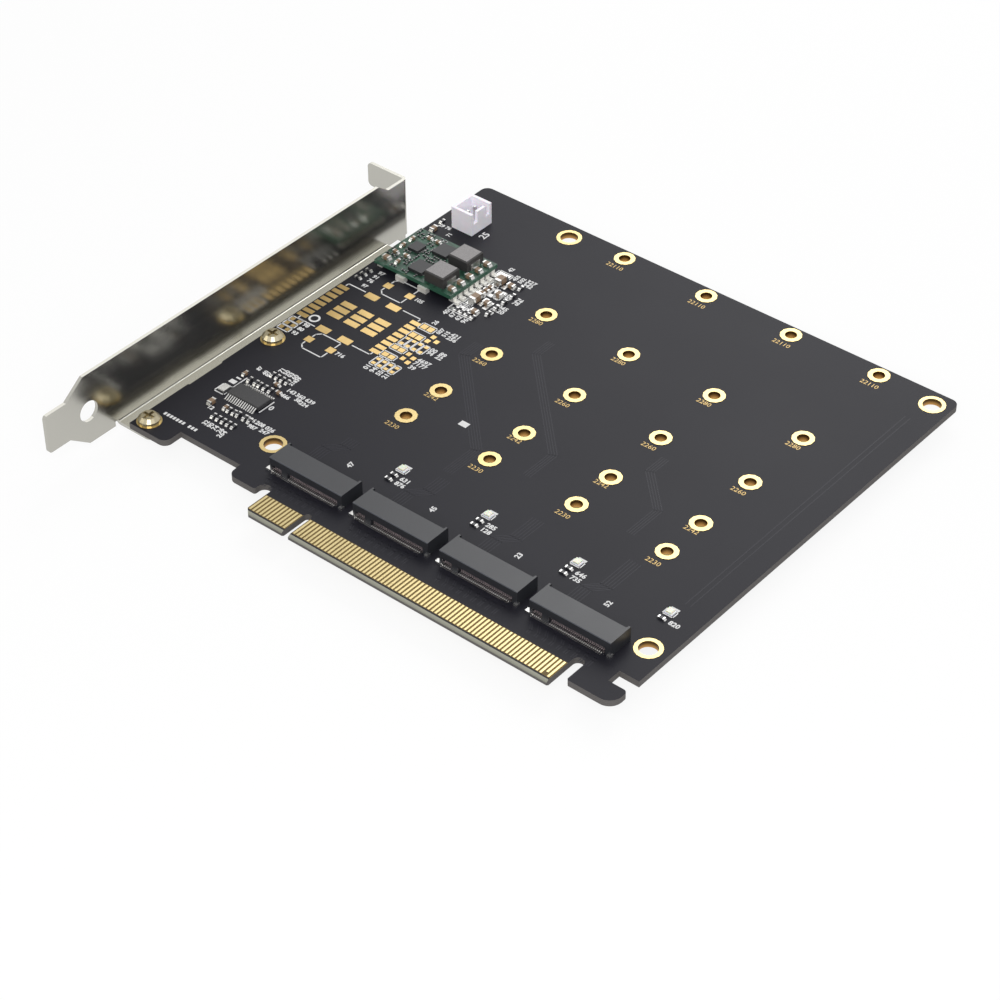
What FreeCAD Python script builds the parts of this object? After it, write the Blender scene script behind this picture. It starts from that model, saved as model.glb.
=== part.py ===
import FreeCAD, Part
import math
import os
from FreeCAD import Vector

# Full-height expansion card that carries four M.2 drives on one sixteen-lane edge connector.
# Frame: X runs along the edge connector, away from the bracket, and is zero at the key notch.
# Y runs up the card and is zero at the end of the connector tongue.
# Z points out of the component side and is zero at the middle of the board's thickness.

# ---- driving dimensions, millimetres --------------------------------------------------------

# board
board_thickness = 1.6
board_to_bracket = 3.9
board_corner_radius = 2.0
left_foot_length = 11.25
left_foot_low = 5.9
left_step_low = 10.9
connector_foot_length = 8.2
connector_foot_slant = 0.2
connector_foot_low = 6.85
foot_radius = 2.0
edge_recess_depth = 0.35
edge_recess_low = 24.6
edge_recess_length = 11.0

# edge connector tongue
key_notch_width = 1.9
key_notch_top = 7.15
tongue_side_margin = 0.61
tongue_corner_chamfer = 1.3
tongue_bevel_length = 0.7
tongue_bevel_depth = 0.45
relief_slot_width = 3.3
relief_slot_top = 8.1
relief_corner_radius = 0.6
hook_slot_width = 2.76
hook_slot_top = 8.5
hook_length = 11.7
hook_low = 3.0
hook_corner_chamfer = 0.4
hook_tip_radius = 3.2
hook_nose_radius = 1.0
hook_notch_depth = 5.0
hook_notch_low = 8.1
hook_notch_width = 3.7

# gold contacts
contact_pitch = 1.0
contact_width = 0.66
contact_length = 5.6
contact_end_margin = 1.25
contact_key_offset = 1.5
short_contact_cut = 1.0
contacts_before_key = 11
contacts_after_key = 71
gold_thickness = 0.05
press_clearance = 0.02

# plated corner holes
corner_hole_pitch = 105.0
corner_hole_inset = 4.57
corner_hole_radius = 2.2
corner_land_radius = 3.1

# outsides of repeated round pieces, and the holes that hold them, have this many flats
nut_sides = 12
land_sides = 16
small_hole_sides = 8

# M.2 module places
module_places = 4
module_pitch = 24.54
first_module_x = -7.0
module_datum_y = 17.3
module_lengths = (30.0, 42.0, 60.0, 80.0, 110.0)
nut_radius = 2.57
nut_above_board = 0.1
nut_below_board = 1.4
nut_thread_radius = 1.45
nut_edge_margin = 3.1

# M.2 sockets, measured from the module's centre line, its datum and the board face
socket_left_wall = 0.3
socket_right_wall = 1.1
socket_height = 3.7
socket_front = 3.5
socket_mouth = 3.2
socket_lip_inset = 0.85
socket_horn_width = 0.5
socket_edge_chamfer = 0.15
slot_end_clearance = 0.7
slot_height = 1.15
slot_middle_height = 2.4
slot_end = -0.4
socket_key_width = 1.1
socket_key_offset = 6.125
lead_recess_height = 1.7
lead_recess_depth = 1.1
lead_recess_margin = 0.4
mouth_recess_depth = 0.2
socket_lead_pitch = 0.5
socket_lead_width = 0.22
socket_lead_thickness = 0.25
socket_lead_foot = 1.2
socket_positions = 75
key_first_position = 59
key_last_position = 66
holddown_length = 1.1
holddown_height = 0.5
holddown_forward = 0.4
holddown_inside = 0.75
holddown_left_outside = 0.9
holddown_right_outside = 0.15

# bracket
bracket_thickness = 0.86
bracket_face_distance = 57.15
bracket_overall = 120.02
bracket_width = 18.42
bracket_tongue_end = -14.6
bracket_tongue_width = 10.19
bracket_tongue_length = 6.4
bracket_taper_length = 5.5
bracket_tongue_radius = 1.0
bracket_bend_radius = 0.4
bracket_hole_radius = 2.65
bracket_hole_from_end = 12.6
bracket_hole_offset = 0.65
tab_length = 11.43
tab_step_depth = 2.54
tab_step_start = 9.6
tab_step_end = 6.2
tab_step_radius = 1.5
tab_overhang = 3.17
tab_corner_radius = 1.2
tab_notch_width = 4.42
tab_notch_depth = 7.3
tab_notch_height = 5.5
tab_notch_flat = 0.01
flange_low = 6.2
flange_length = 90.8
flange_corner_radius = 2.0
flange_relief = 1.0

# bracket screws
screw_from_bracket = 6.8
screw_edge_margin = 3.6
screw_end_margin = 3.1
screw_pitch = 40.3
screw_thread_radius = 1.4
screw_thread_clearance = 0.03
screw_clearance_radius = 1.6
screw_head_radius = 2.55
screw_head_height = 1.7
screw_tip_below_bracket = 1.0
screw_recess_width = 0.75
screw_recess_length = 3.0
screw_recess_depth = 0.9
screw_shoulder_share = 0.5
screw_crown_share = 0.7

# power header
header_from_side = 8.3
header_from_top = 15.5
header_length_x = 6.4
header_length_y = 7.6
header_height = 6.0
header_wall = 0.8
header_floor = 1.6
header_latch_slot = 1.5
header_pin_size = 0.64
header_pin_pitch = 2.5
header_pin_top = 4.9
header_pin_below_board = 1.3
header_hole_clearance = 0.1

# power module on its own small board
module_board_from_side = 1.95
module_board_from_top = 27.0
module_board_length_x = 24.2
module_board_length_y = 17.2
module_board_thickness = 1.0
module_board_lift = 1.4
module_leg_pitch = 2.0
module_legs_per_side = 8
module_leg_width = 1.25
module_leg_reach = 1.3
module_leg_under = 1.5
module_leg_foot = 0.35
module_bar_length = 2.6
module_bar_width = 1.4
module_bar_spacing = 7.0
inductor_size_x = 6.2
inductor_size_y = 6.0
inductor_height = 3.0
inductor_chamfer = 0.3
inductor_terminal_thickness = 0.15
inductor_terminal_width = 3.2
inductor_terminal_height = 1.6
power_stage_size_x = 4.3
power_stage_size_y = 4.4
power_stage_height = 0.9
controller_size = 3.2
controller_height = 0.8

# places on the power module, from its middle, as shares of its own small board's length and width
inductor_share_x = 0.247
inductor_share_y = 0.255
inductor_share_lower = -0.015
power_stage_share_x = -0.03
controller_share_x = -0.29
controller_share_y = 0.07

# clock buffer chip
chip_from_side = 14.65
chip_above_step = 18.55
chip_length = 9.7
chip_width = 4.4
chip_height = 1.0
chip_lift = 0.1
chip_leads_per_side = 14
chip_lead_pitch = 0.65
chip_lead_width = 0.3
chip_lead_span = 6.6
chip_lead_thickness = 0.15
chip_lead_height = 0.55

# small surface-mount parts: length, width, height of each body size
body_large = (3.2, 1.7, 1.6)
body_medium = (2.0, 1.25, 0.9)
body_small = (1.6, 0.8, 0.7)
end_cap_share = 0.22
placement_grid = 0.5
led_offset_x = 12.25
led_above_datum = 15.0
led_length = 2.0
led_width = 1.5
led_height = 0.8
led_lens_inset = 0.25

# ---- places that follow from the sizes above --------------------------------------------------

board_face = board_thickness / 2
board_back = -board_thickness / 2
first_contact_x = -contact_key_offset - (contacts_before_key - 1) * contact_pitch
last_contact_x = contact_key_offset + (contacts_after_key - 1) * contact_pitch
tongue_left = first_contact_x - tongue_side_margin
tongue_right = last_contact_x + tongue_side_margin
board_left = board_to_bracket - bracket_face_distance
board_right = tongue_right + hook_slot_width + hook_length
board_top = module_datum_y + module_lengths[-1] + nut_edge_margin
left_foot_right = board_left + left_foot_length
connector_foot_left = tongue_left - relief_slot_width - connector_foot_length
module_columns = [first_module_x + place * module_pitch for place in range(module_places)]
bracket_inner = -bracket_face_distance
bracket_outer = bracket_inner - bracket_thickness
flange_bottom = board_back - bracket_thickness
bracket_top_edge = flange_bottom + bracket_width
bracket_tab_face = bracket_tongue_end + bracket_overall
flange_reach = screw_from_bracket + screw_edge_margin
flange_high = flange_low + flange_length
screw_x = bracket_inner + screw_from_bracket
screw_places = [(screw_x, flange_low + screw_end_margin + row * screw_pitch) for row in (0, 1)]
header_x = board_left + header_from_side
header_y = board_top - header_from_top
header_pin_places = [(header_x, header_y + side * header_pin_pitch / 2) for side in (-1, 1)]
module_board_x = board_left + module_board_from_side + module_board_length_x / 2
module_board_y = board_top - module_board_from_top - module_board_length_y / 2
chip_x = board_left + chip_from_side
chip_y = left_step_low + chip_above_step
led_y = module_datum_y + led_above_datum
module_board_bottom = board_face + module_board_lift
module_board_top = module_board_bottom + module_board_thickness
inductor_x = module_board_x + inductor_share_x * module_board_length_x
inductor_places = [(inductor_x, module_board_y + share * module_board_length_y)
                   for share in (inductor_share_lower - inductor_share_y,
                                 inductor_share_lower + inductor_share_y)]
slot_width = (socket_positions - 1) * socket_lead_pitch / 2 + 2 * slot_end_clearance
slot_low = board_face + slot_middle_height - slot_height / 2
slot_high = slot_low + slot_height


# ---- drawing helpers --------------------------------------------------------------------------

def box(x_low, x_high, y_low, y_high, z_low, z_high):
    """A block between two corners."""
    return Part.makeBox(x_high - x_low, y_high - y_low, z_high - z_low, Vector(x_low, y_low, z_low))


def block(middle_x, middle_y, z_low, size_x, size_y, size_z):
    """A block centred in X and Y that stands on z_low."""
    return Part.makeBox(size_x, size_y, size_z,
                        Vector(middle_x - size_x / 2, middle_y - size_y / 2, z_low))


def upright_cylinder(middle_x, middle_y, z_low, z_high, radius):
    return Part.makeCylinder(radius, z_high - z_low, Vector(middle_x, middle_y, z_low))


def sided_wire(middle_x, middle_y, z, radius, sides):
    """A level regular outline whose flats lie at the radius."""
    corner = radius / math.cos(math.pi / sides)
    turns = [2 * math.pi * (index + 0.5) / sides for index in range(sides)]
    points = [Vector(middle_x + corner * math.cos(turn), middle_y + corner * math.sin(turn), z)
              for turn in turns]
    return Part.makePolygon(points + points[:1])


def sided_prism(middle_x, middle_y, z_low, z_high, radius, sides):
    """An upright prism whose flats lie at the radius."""
    outline = sided_wire(middle_x, middle_y, z_low, radius, sides)
    return Part.Face(outline).extrude(Vector(0, 0, z_high - z_low))


def rounded_face(corners, place):
    """A face from (u, v, radius) corners; place turns (u, v) into a point in space."""
    edges = []
    ends = []
    count = len(corners)
    for index, (u, v, radius) in enumerate(corners):
        here = Vector(u, v, 0)
        before = Vector(corners[index - 1][0], corners[index - 1][1], 0) - here
        after = Vector(corners[(index + 1) % count][0], corners[(index + 1) % count][1], 0) - here
        if radius == 0:
            ends.append((here, None, here))
            continue
        before.normalize()
        after.normalize()
        half_angle = before.getAngle(after) / 2
        setback = radius / math.tan(half_angle)
        bisector = (before + after).normalize()
        middle = here + bisector * (radius / math.sin(half_angle) - radius)
        ends.append((here + before * setback, middle, here + after * setback))
    for index, (start, middle, finish) in enumerate(ends):
        if middle is not None:
            edges.append(Part.Arc(place(start.x, start.y), place(middle.x, middle.y),
                                  place(finish.x, finish.y)).toShape())
        following = ends[(index + 1) % count][0]
        if finish.distanceToPoint(following) > 1e-6:
            edges.append(Part.LineSegment(place(finish.x, finish.y),
                                          place(following.x, following.y)).toShape())
    return Part.Face(Part.Wire(edges))


def plan_prism(corners, z_low, z_high):
    """A plate drawn in plan (X, Y) and raised from z_low to z_high."""
    face = rounded_face(corners, lambda u, v: Vector(u, v, z_low))
    return face.extrude(Vector(0, 0, z_high - z_low))


def side_prism(corners, x_low, x_high):
    """A section drawn in (Y, Z) and run along X."""
    face = rounded_face(corners, lambda u, v: Vector(x_low, u, v))
    return face.extrude(Vector(x_high - x_low, 0, 0))


def group(solids):
    return Part.makeCompound(solids)


# ---- board --------------------------------------------------------------------------------------

def make_board():
    """The printed board: outline, tongue, slots, bevels and every drilled hole."""
    outline = [
        (board_left, left_foot_low, 0),
        (left_foot_right, left_foot_low, foot_radius),
        (left_foot_right, left_step_low, 0),
        (connector_foot_left, left_step_low, 0),
        (connector_foot_left + connector_foot_slant, connector_foot_low, foot_radius),
        (tongue_left - relief_slot_width, connector_foot_low, relief_corner_radius),
        (tongue_left - relief_slot_width, relief_slot_top, 0),
        (tongue_left, relief_slot_top, 0),
        (tongue_left, tongue_corner_chamfer, 0),
        (tongue_left + tongue_corner_chamfer, 0, 0),
        (tongue_right, 0, 0),
        (tongue_right, hook_slot_top, 0),
        (tongue_right + hook_slot_width, hook_slot_top, 0),
        (tongue_right + hook_slot_width, hook_low + hook_corner_chamfer, 0),
        (tongue_right + hook_slot_width + hook_corner_chamfer, hook_low, 0),
        (board_right, hook_low, hook_tip_radius),
        (board_right, hook_notch_low, hook_nose_radius),
        (board_right - hook_notch_depth, hook_notch_low, 0),
        (board_right - hook_notch_depth, hook_notch_low + hook_notch_width, 0),
        (board_right, hook_notch_low + hook_notch_width, 0),
        (board_right, board_top, board_corner_radius),
        (board_left, board_top, board_corner_radius),
        (board_left, edge_recess_low + edge_recess_length, 0),
        (board_left + edge_recess_depth, edge_recess_low + edge_recess_length, 0),
        (board_left + edge_recess_depth, edge_recess_low, 0),
        (board_left, edge_recess_low, 0),
    ]
    board = plan_prism(outline, board_back, board_face)
    cuts = []
    for middle_x, width, top in ((tongue_left - relief_slot_width / 2, relief_slot_width, relief_slot_top),
                                 (0, key_notch_width, key_notch_top),
                                 (tongue_right + hook_slot_width / 2, hook_slot_width, hook_slot_top)):
        radius = width / 2
        cuts.append(upright_cylinder(middle_x, top, board_back, board_face, radius))
        cuts.append(block(middle_x, top / 2, board_back, width, top, board_thickness))
    for face, inward in ((board_face, -1), (board_back, 1)):
        bevel = [(0, face, 0), (tongue_bevel_length, face, 0), (0, face + inward * tongue_bevel_depth, 0)]
        cuts.append(side_prism(bevel, tongue_left, tongue_right))
    barrel = corner_hole_radius + gold_thickness + press_clearance
    pin_hole = header_pin_size / math.sqrt(2) + header_hole_clearance
    holes = [(place, barrel, land_sides) for place in corner_hole_places()]
    holes += [(place, nut_radius + press_clearance, nut_sides) for place in nut_places()]
    holes += [(place, screw_clearance_radius, nut_sides) for place in screw_places]
    holes += [(place, pin_hole, small_hole_sides) for place in header_pin_places]
    for (x, y), radius, sides in holes:
        cuts.append(sided_prism(x, y, board_back, board_face, radius, sides))
    return board.cut(cuts)


def contact_solids(face_low, short_contact):
    """One row of gold fingers; short_contact counts from one at the bracket end."""
    solids = []
    places = [first_contact_x + index * contact_pitch for index in range(contacts_before_key)]
    places += [contact_key_offset + index * contact_pitch for index in range(contacts_after_key)]
    for number, middle_x in enumerate(places, 1):
        low = contact_end_margin + (short_contact_cut if number == short_contact else 0)
        high = contact_end_margin + contact_length
        solids.append(box(middle_x - contact_width / 2, middle_x + contact_width / 2, low, high,
                          face_low, face_low + gold_thickness))
    return group(solids)


# ---- plated corner holes and drive nuts ---------------------------------------------------------

def corner_hole_places():
    """Four corners of a square, inset from the board's far top corner."""
    high_x = board_right - corner_hole_inset
    high_y = board_top - corner_hole_inset
    return [(high_x - column * corner_hole_pitch, high_y - row * corner_hole_pitch)
            for row in (1, 0) for column in (1, 0)]


def make_corner_plating():
    """Gold lands on both faces of each corner hole, joined by the plated wall."""
    platings = []
    for x, y in corner_hole_places():
        wall = upright_cylinder(x, y, board_back, board_face, corner_hole_radius + gold_thickness)
        front = sided_prism(x, y, board_face, board_face + gold_thickness, corner_land_radius, land_sides)
        back = sided_prism(x, y, board_back - gold_thickness, board_back, corner_land_radius, land_sides)
        bore = upright_cylinder(x, y, board_back - gold_thickness, board_face + gold_thickness,
                                corner_hole_radius)
        platings.append(wall.fuse([front, back]).removeSplitter().cut(bore))
    return group(platings)


def nut_places():
    return [(x, module_datum_y + length) for length in module_lengths for x in module_columns]


def make_module_nuts():
    """Straight press-in threaded nuts, one for each drive length in each column."""
    top = board_face + nut_above_board
    bottom = board_back - nut_below_board
    nuts = []
    for x, y in nut_places():
        barrel = sided_prism(x, y, bottom, top, nut_radius, nut_sides)
        nuts.append(barrel.cut(upright_cylinder(x, y, bottom, top, nut_thread_radius)))
    return group(nuts)


# ---- M.2 sockets ----------------------------------------------------------------------------------

def pin_x(pin):
    """Place of a pin along the socket, from its middle, with pin one at the far right."""
    return ((socket_positions + 1) / 2 - pin) * socket_lead_pitch / 2


def front_pins():
    """The odd pins, without those that the key takes."""
    return [pin for pin in range(1, socket_positions + 1, 2)
            if not key_first_position <= pin <= key_last_position]


def socket_ends(middle_x):
    """Left and right end of the housing whose module has its centre line at middle_x."""
    return (middle_x - slot_width / 2 - socket_left_wall, middle_x + slot_width / 2 + socket_right_wall)


def holddown_boxes(middle_x):
    """Solder tabs under both front corners of a housing, reaching out past its front and ends."""
    left, right = socket_ends(middle_x)
    low = module_datum_y - socket_front - holddown_forward
    return [box(start, finish, low, low + holddown_length, board_face, board_face + holddown_height)
            for start, finish in ((left - holddown_left_outside, left + holddown_inside),
                                  (right - holddown_inside, right + holddown_right_outside))]


def make_socket_housing(middle_x):
    """Moulded housing: slot and key rib, lead recesses, corner horns and softened top edges."""
    left, right = socket_ends(middle_x)
    front = module_datum_y - socket_front
    mouth = module_datum_y + socket_mouth
    top = board_face + socket_height
    section = [(front, board_face, 0), (mouth, board_face, 0), (mouth, top - socket_edge_chamfer, 0),
               (mouth - socket_edge_chamfer, top, 0), (front + socket_edge_chamfer, top, 0),
               (front, top - socket_edge_chamfer, 0)]
    housing = side_prism(section, left, right)
    slot = box(middle_x - slot_width / 2, middle_x + slot_width / 2,
               module_datum_y + slot_end, mouth, slot_low, slot_high)
    key_x = middle_x - socket_key_offset
    key_rib = box(key_x - socket_key_width / 2, key_x + socket_key_width / 2,
                  module_datum_y + slot_end, mouth - socket_lip_inset, slot_low, slot_high)
    lip = box(left + socket_horn_width, right - socket_horn_width, mouth - socket_lip_inset, mouth,
              slot_high, top)
    cuts = [slot.cut(key_rib), lip]
    for first, last in ((1, key_first_position - 2), (key_last_position + 1, socket_positions)):
        low = middle_x + pin_x(last) - lead_recess_margin
        high = middle_x + pin_x(first) + lead_recess_margin
        cuts.append(box(low, high, front, front + lead_recess_depth,
                        board_face, board_face + lead_recess_height))
        cuts.append(box(low, high, mouth - mouth_recess_depth, mouth, board_face, slot_low))
    return housing.cut(cuts + holddown_boxes(middle_x))


def make_socket_leads(middle_x):
    """The row of flat lead feet that come out under the front overhang."""
    feet = []
    heel = module_datum_y - socket_front + lead_recess_depth
    toe = heel - socket_lead_foot
    for pin in front_pins():
        x = middle_x + pin_x(pin)
        feet.append(box(x - socket_lead_width / 2, x + socket_lead_width / 2, toe, heel,
                        board_face, board_face + socket_lead_thickness))
    return group(feet)


# ---- bracket ----------------------------------------------------------------------------------------

def bend(start_angle, sweep_axis, length_vector, centre, start_inner, start_outer):
    """A quarter bend of sheet: an annular sector swept along length_vector."""
    inner = start_inner - centre
    outer = start_outer - centre
    middle = FreeCAD.Rotation(sweep_axis, start_angle / 2)
    finish = FreeCAD.Rotation(sweep_axis, start_angle)
    edges = [
        Part.Arc(centre + inner, centre + middle.multVec(inner), centre + finish.multVec(inner)).toShape(),
        Part.LineSegment(centre + finish.multVec(inner), centre + finish.multVec(outer)).toShape(),
        Part.Arc(centre + finish.multVec(outer), centre + middle.multVec(outer), centre + outer).toShape(),
        Part.LineSegment(centre + outer, centre + inner).toShape(),
    ]
    return Part.Face(Part.Wire(edges)).extrude(length_vector)


def make_bracket():
    """One folded sheet: plate with tongue, screw tab bent outward, board flange bent inward."""
    outer_radius = bracket_bend_radius + bracket_thickness
    step_edge = bracket_top_edge - tab_step_depth
    plate_end = bracket_tab_face - outer_radius
    tongue_middle = (flange_bottom + bracket_top_edge) / 2
    tongue_high = tongue_middle + bracket_tongue_width / 2
    tongue_low = tongue_middle - bracket_tongue_width / 2
    tongue_base = bracket_tongue_end + bracket_tongue_length
    taper_end = tongue_base + bracket_taper_length
    tab_inner = bracket_tab_face - bracket_thickness
    plate_corners = [
        (bracket_tongue_end, tongue_low, bracket_tongue_radius),
        (tongue_base, tongue_low, 0),
        (taper_end, flange_bottom, 0),
        (plate_end, flange_bottom, 0),
        (plate_end, step_edge, 0),
        (tab_inner - tab_step_end, step_edge, tab_step_radius),
        (tab_inner - tab_step_start, bracket_top_edge, tab_step_radius),
        (taper_end, bracket_top_edge, 0),
        (tongue_base, tongue_high, 0),
        (bracket_tongue_end, tongue_high, bracket_tongue_radius),
    ]
    plate = side_prism(plate_corners, bracket_outer, bracket_inner)
    bend_top = flange_bottom + outer_radius
    plate = plate.cut(box(bracket_outer, bracket_inner, flange_low - flange_relief,
                          flange_high + flange_relief, flange_bottom, bend_top))
    flange_bend = bend(90, Vector(0, -1, 0), Vector(0, flange_high - flange_low, 0),
                       Vector(bracket_inner + bracket_bend_radius, flange_low, bend_top),
                       Vector(bracket_inner, flange_low, bend_top),
                       Vector(bracket_outer, flange_low, bend_top))
    flange_start = bracket_inner + bracket_bend_radius
    flange_end = bracket_inner + flange_reach
    flange = plan_prism([(flange_start, flange_low, 0), (flange_end, flange_low, flange_corner_radius),
                         (flange_end, flange_high, flange_corner_radius), (flange_start, flange_high, 0)],
                        flange_bottom, board_back)
    tab_bend = bend(90, Vector(0, 0, 1), Vector(0, 0, step_edge - flange_bottom),
                    Vector(bracket_outer - bracket_bend_radius, plate_end, flange_bottom),
                    Vector(bracket_outer, plate_end, flange_bottom),
                    Vector(bracket_inner, plate_end, flange_bottom))
    tab_start = bracket_outer - bracket_bend_radius
    tab_end = bracket_outer - tab_length
    tab_low = flange_bottom - tab_overhang
    notch_high = tab_notch_height + tab_notch_width / 2
    notch_low = tab_notch_height - tab_notch_width / 2
    notch_radius = tab_notch_width / 2 - tab_notch_flat
    tab_corners = [
        (tab_start, step_edge, 0),
        (tab_end, step_edge, tab_corner_radius),
        (tab_end, notch_high, tab_corner_radius),
        (tab_end + tab_notch_depth, notch_high, notch_radius),
        (tab_end + tab_notch_depth, notch_low, notch_radius),
        (tab_end, notch_low, tab_corner_radius),
        (tab_end, tab_low, tab_corner_radius),
        (tab_start, tab_low, 0),
    ]
    tab_face = rounded_face(tab_corners, lambda u, v: Vector(u, tab_inner, v))
    tab = tab_face.extrude(Vector(0, bracket_thickness, 0))
    bracket = plate.fuse([flange_bend, flange, tab_bend, tab]).removeSplitter()
    thread = screw_thread_radius + screw_thread_clearance
    holes = [sided_prism(x, y, flange_bottom, board_back, thread, nut_sides) for x, y in screw_places]
    holes.append(Part.makeCylinder(bracket_hole_radius, bracket_thickness,
                                   Vector(bracket_outer, bracket_tongue_end + bracket_hole_from_end,
                                          tongue_middle - bracket_hole_offset), Vector(1, 0, 0)))
    return bracket.cut(holes)


def make_screws():
    """Two pan-head screws with cross recesses, up from the flange through the board."""
    screws = []
    tip = flange_bottom - screw_tip_below_bracket
    top = board_face + screw_head_height
    shoulder = board_face + screw_head_height * screw_shoulder_share
    crown = screw_head_radius * screw_crown_share
    for x, y in screw_places:
        shank = sided_prism(x, y, tip, board_face, screw_thread_radius, nut_sides)
        rim = sided_prism(x, y, board_face, shoulder, screw_head_radius, land_sides)
        dome = Part.makeLoft([sided_wire(x, y, shoulder, screw_head_radius, land_sides),
                              sided_wire(x, y, top, crown, land_sides)], True, True)
        floor = top - screw_recess_depth
        arms = [block(x, y, floor, screw_recess_length, screw_recess_width, screw_recess_depth),
                block(x, y, floor, screw_recess_width, screw_recess_length, screw_recess_depth)]
        screws.append(rim.fuse([shank, dome]).cut(arms))
    return group(screws)


# ---- power header --------------------------------------------------------------------------------------

def make_header_housing():
    """Open-topped shroud with a floor and two latch slots in the side away from the bracket."""
    housing = block(header_x, header_y, board_face, header_length_x, header_length_y, header_height)
    pocket = block(header_x, header_y, board_face + header_floor, header_length_x - 2 * header_wall,
                   header_length_y - 2 * header_wall, header_height - header_floor)
    cuts = [pocket]
    for side in (-1, 1):
        cuts.append(block(header_x + header_length_x / 2 - header_wall / 2,
                          header_y + side * (header_length_y / 2 - header_wall - header_latch_slot / 2),
                          board_face + header_height / 2, header_wall, header_latch_slot,
                          header_height / 2))
    for x, y in header_pin_places:
        cuts.append(block(x, y, board_face, header_pin_size, header_pin_size, header_floor))
    return housing.cut(cuts)


def make_header_pins():
    """Square posts, through the housing's floor and the board."""
    bottom = board_back - header_pin_below_board
    height = board_face + header_pin_top - bottom
    return group([block(x, y, bottom, header_pin_size, header_pin_size, height)
                  for x, y in header_pin_places])


# ---- power module -----------------------------------------------------------------------------------------

def make_module_legs():
    """Folded legs along both sides and two broad bars at each end of the power module."""
    legs = []
    for side in (-1, 1):
        edge = module_board_x + side * module_board_length_x / 2
        for index in range(module_legs_per_side):
            y = module_board_y + (index - (module_legs_per_side - 1) / 2) * module_leg_pitch
            outward = side * module_leg_reach if side > 0 else 0
            under = edge - side * module_leg_under
            low, high = sorted((under, edge + outward))
            foot = box(low, high, y - module_leg_width / 2, y + module_leg_width / 2,
                       board_face, board_face + module_leg_foot)
            low, high = sorted((under, edge))
            riser = box(low, high, y - module_leg_width / 2, y + module_leg_width / 2,
                        board_face, module_board_bottom)
            legs.append(foot.fuse(riser).removeSplitter())
    for side in (-1, 1):
        edge = module_board_y + side * module_board_length_y / 2
        for place in (-1, 1):
            legs.append(block(module_board_x + place * module_bar_spacing / 2, edge, board_face,
                              module_bar_length, module_bar_width, module_board_lift))
    return group(legs)


def make_inductor(index):
    """Moulded power inductor with chamfered top edges."""
    x, y = inductor_places[index]
    body = block(x, y, module_board_top, inductor_size_x - 2 * inductor_terminal_thickness,
                 inductor_size_y, inductor_height)
    top = module_board_top + inductor_height
    edges = [edge for edge in body.Edges if edge.BoundBox.ZMin > top - 0.01]
    return body.makeChamfer(inductor_chamfer, edges)


def make_inductor_terminals():
    """Folded end plates on both sides of each inductor."""
    plates = []
    for x, y in inductor_places:
        for side in (-1, 1):
            middle = x + side * (inductor_size_x / 2 - inductor_terminal_thickness / 2)
            plates.append(block(middle, y, module_board_top, inductor_terminal_thickness,
                                inductor_terminal_width, inductor_terminal_height))
    return group(plates)


def make_power_stages():
    """Two flat square switching stages beside the inductors."""
    middle_x = module_board_x + power_stage_share_x * module_board_length_x
    return group([block(middle_x, y, module_board_top, power_stage_size_x, power_stage_size_y,
                        power_stage_height) for _, y in inductor_places])


def make_module_controller():
    return block(module_board_x + controller_share_x * module_board_length_x,
                 module_board_y + controller_share_y * module_board_length_y,
                 module_board_top, controller_size, controller_size, controller_height)


# ---- chip with gull-wing leads ---------------------------------------------------------------------------

def make_chip_body():
    body = block(chip_x, chip_y, board_face + chip_lift, chip_length, chip_width, chip_height)
    top = board_face + chip_lift + chip_height
    edges = [edge for edge in body.Edges if edge.BoundBox.ZMin > top - 0.01]
    return body.makeChamfer(chip_lead_thickness, edges)


def make_chip_leads():
    """Gull-wing leads, each one plate that slopes from the body to its toe on the board."""
    leads = []
    for side in (-1, 1):
        root = chip_y + side * chip_width / 2
        toe = chip_y + side * chip_lead_span / 2
        low = board_face + chip_lead_height
        profile = [(root, low, 0), (toe, board_face, 0), (toe, board_face + chip_lead_thickness, 0),
                   (root, low + chip_lead_thickness, 0)]
        for index in range(chip_leads_per_side):
            x = chip_x + (index - (chip_leads_per_side - 1) / 2) * chip_lead_pitch
            leads.append(side_prism(profile, x - chip_lead_width / 2, x + chip_lead_width / 2))
    return group(leads)


# ---- small surface-mount parts ------------------------------------------------------------------------------

def part_body(middle_x, middle_y, z_low, size, along_x):
    """The ceramic middle of a two-ended part."""
    length, width, height = size
    middle = length * (1 - 2 * end_cap_share)
    if along_x:
        return block(middle_x, middle_y, z_low, middle, width, height)
    return block(middle_x, middle_y, z_low, width, middle, height)


def part_ends(middle_x, middle_y, z_low, size, along_x):
    """The two metal end caps of a two-ended part."""
    length, width, height = size
    cap = length * end_cap_share
    offset = (length - cap) / 2
    if along_x:
        return [block(middle_x + side * offset, middle_y, z_low, cap, width, height) for side in (-1, 1)]
    return [block(middle_x, middle_y + side * offset, z_low, width, cap, height) for side in (-1, 1)]


def module_cap_places():
    """Capacitors on the power module, from shares of its own small board."""
    left = module_board_x - module_board_length_x / 2
    low = module_board_y - module_board_length_y / 2
    shares = [(0.935, 0.12 + row * 0.19, body_medium, True) for row in range(5)]
    shares += [(0.09, 0.12, body_medium, True), (0.09, 0.31, body_small, True),
               (0.22, 0.15, body_small, False), (0.22, 0.33, body_small, True),
               (0.07, 0.50, body_small, False), (0.07, 0.70, body_small, False),
               (0.20, 0.86, body_small, True), (0.31, 0.86, body_small, True)]
    return [(left + share_x * module_board_length_x, low + share_y * module_board_length_y, size, along_x)
            for share_x, share_y, size, along_x in shares]


def placed(anchor_x, anchor_y, size, along_x, steps):
    """Parts of one size on the placement grid, (column, row) steps from an anchor."""
    return [(anchor_x + column * placement_grid, anchor_y + row * placement_grid, size, along_x)
            for column, row in steps]


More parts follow.
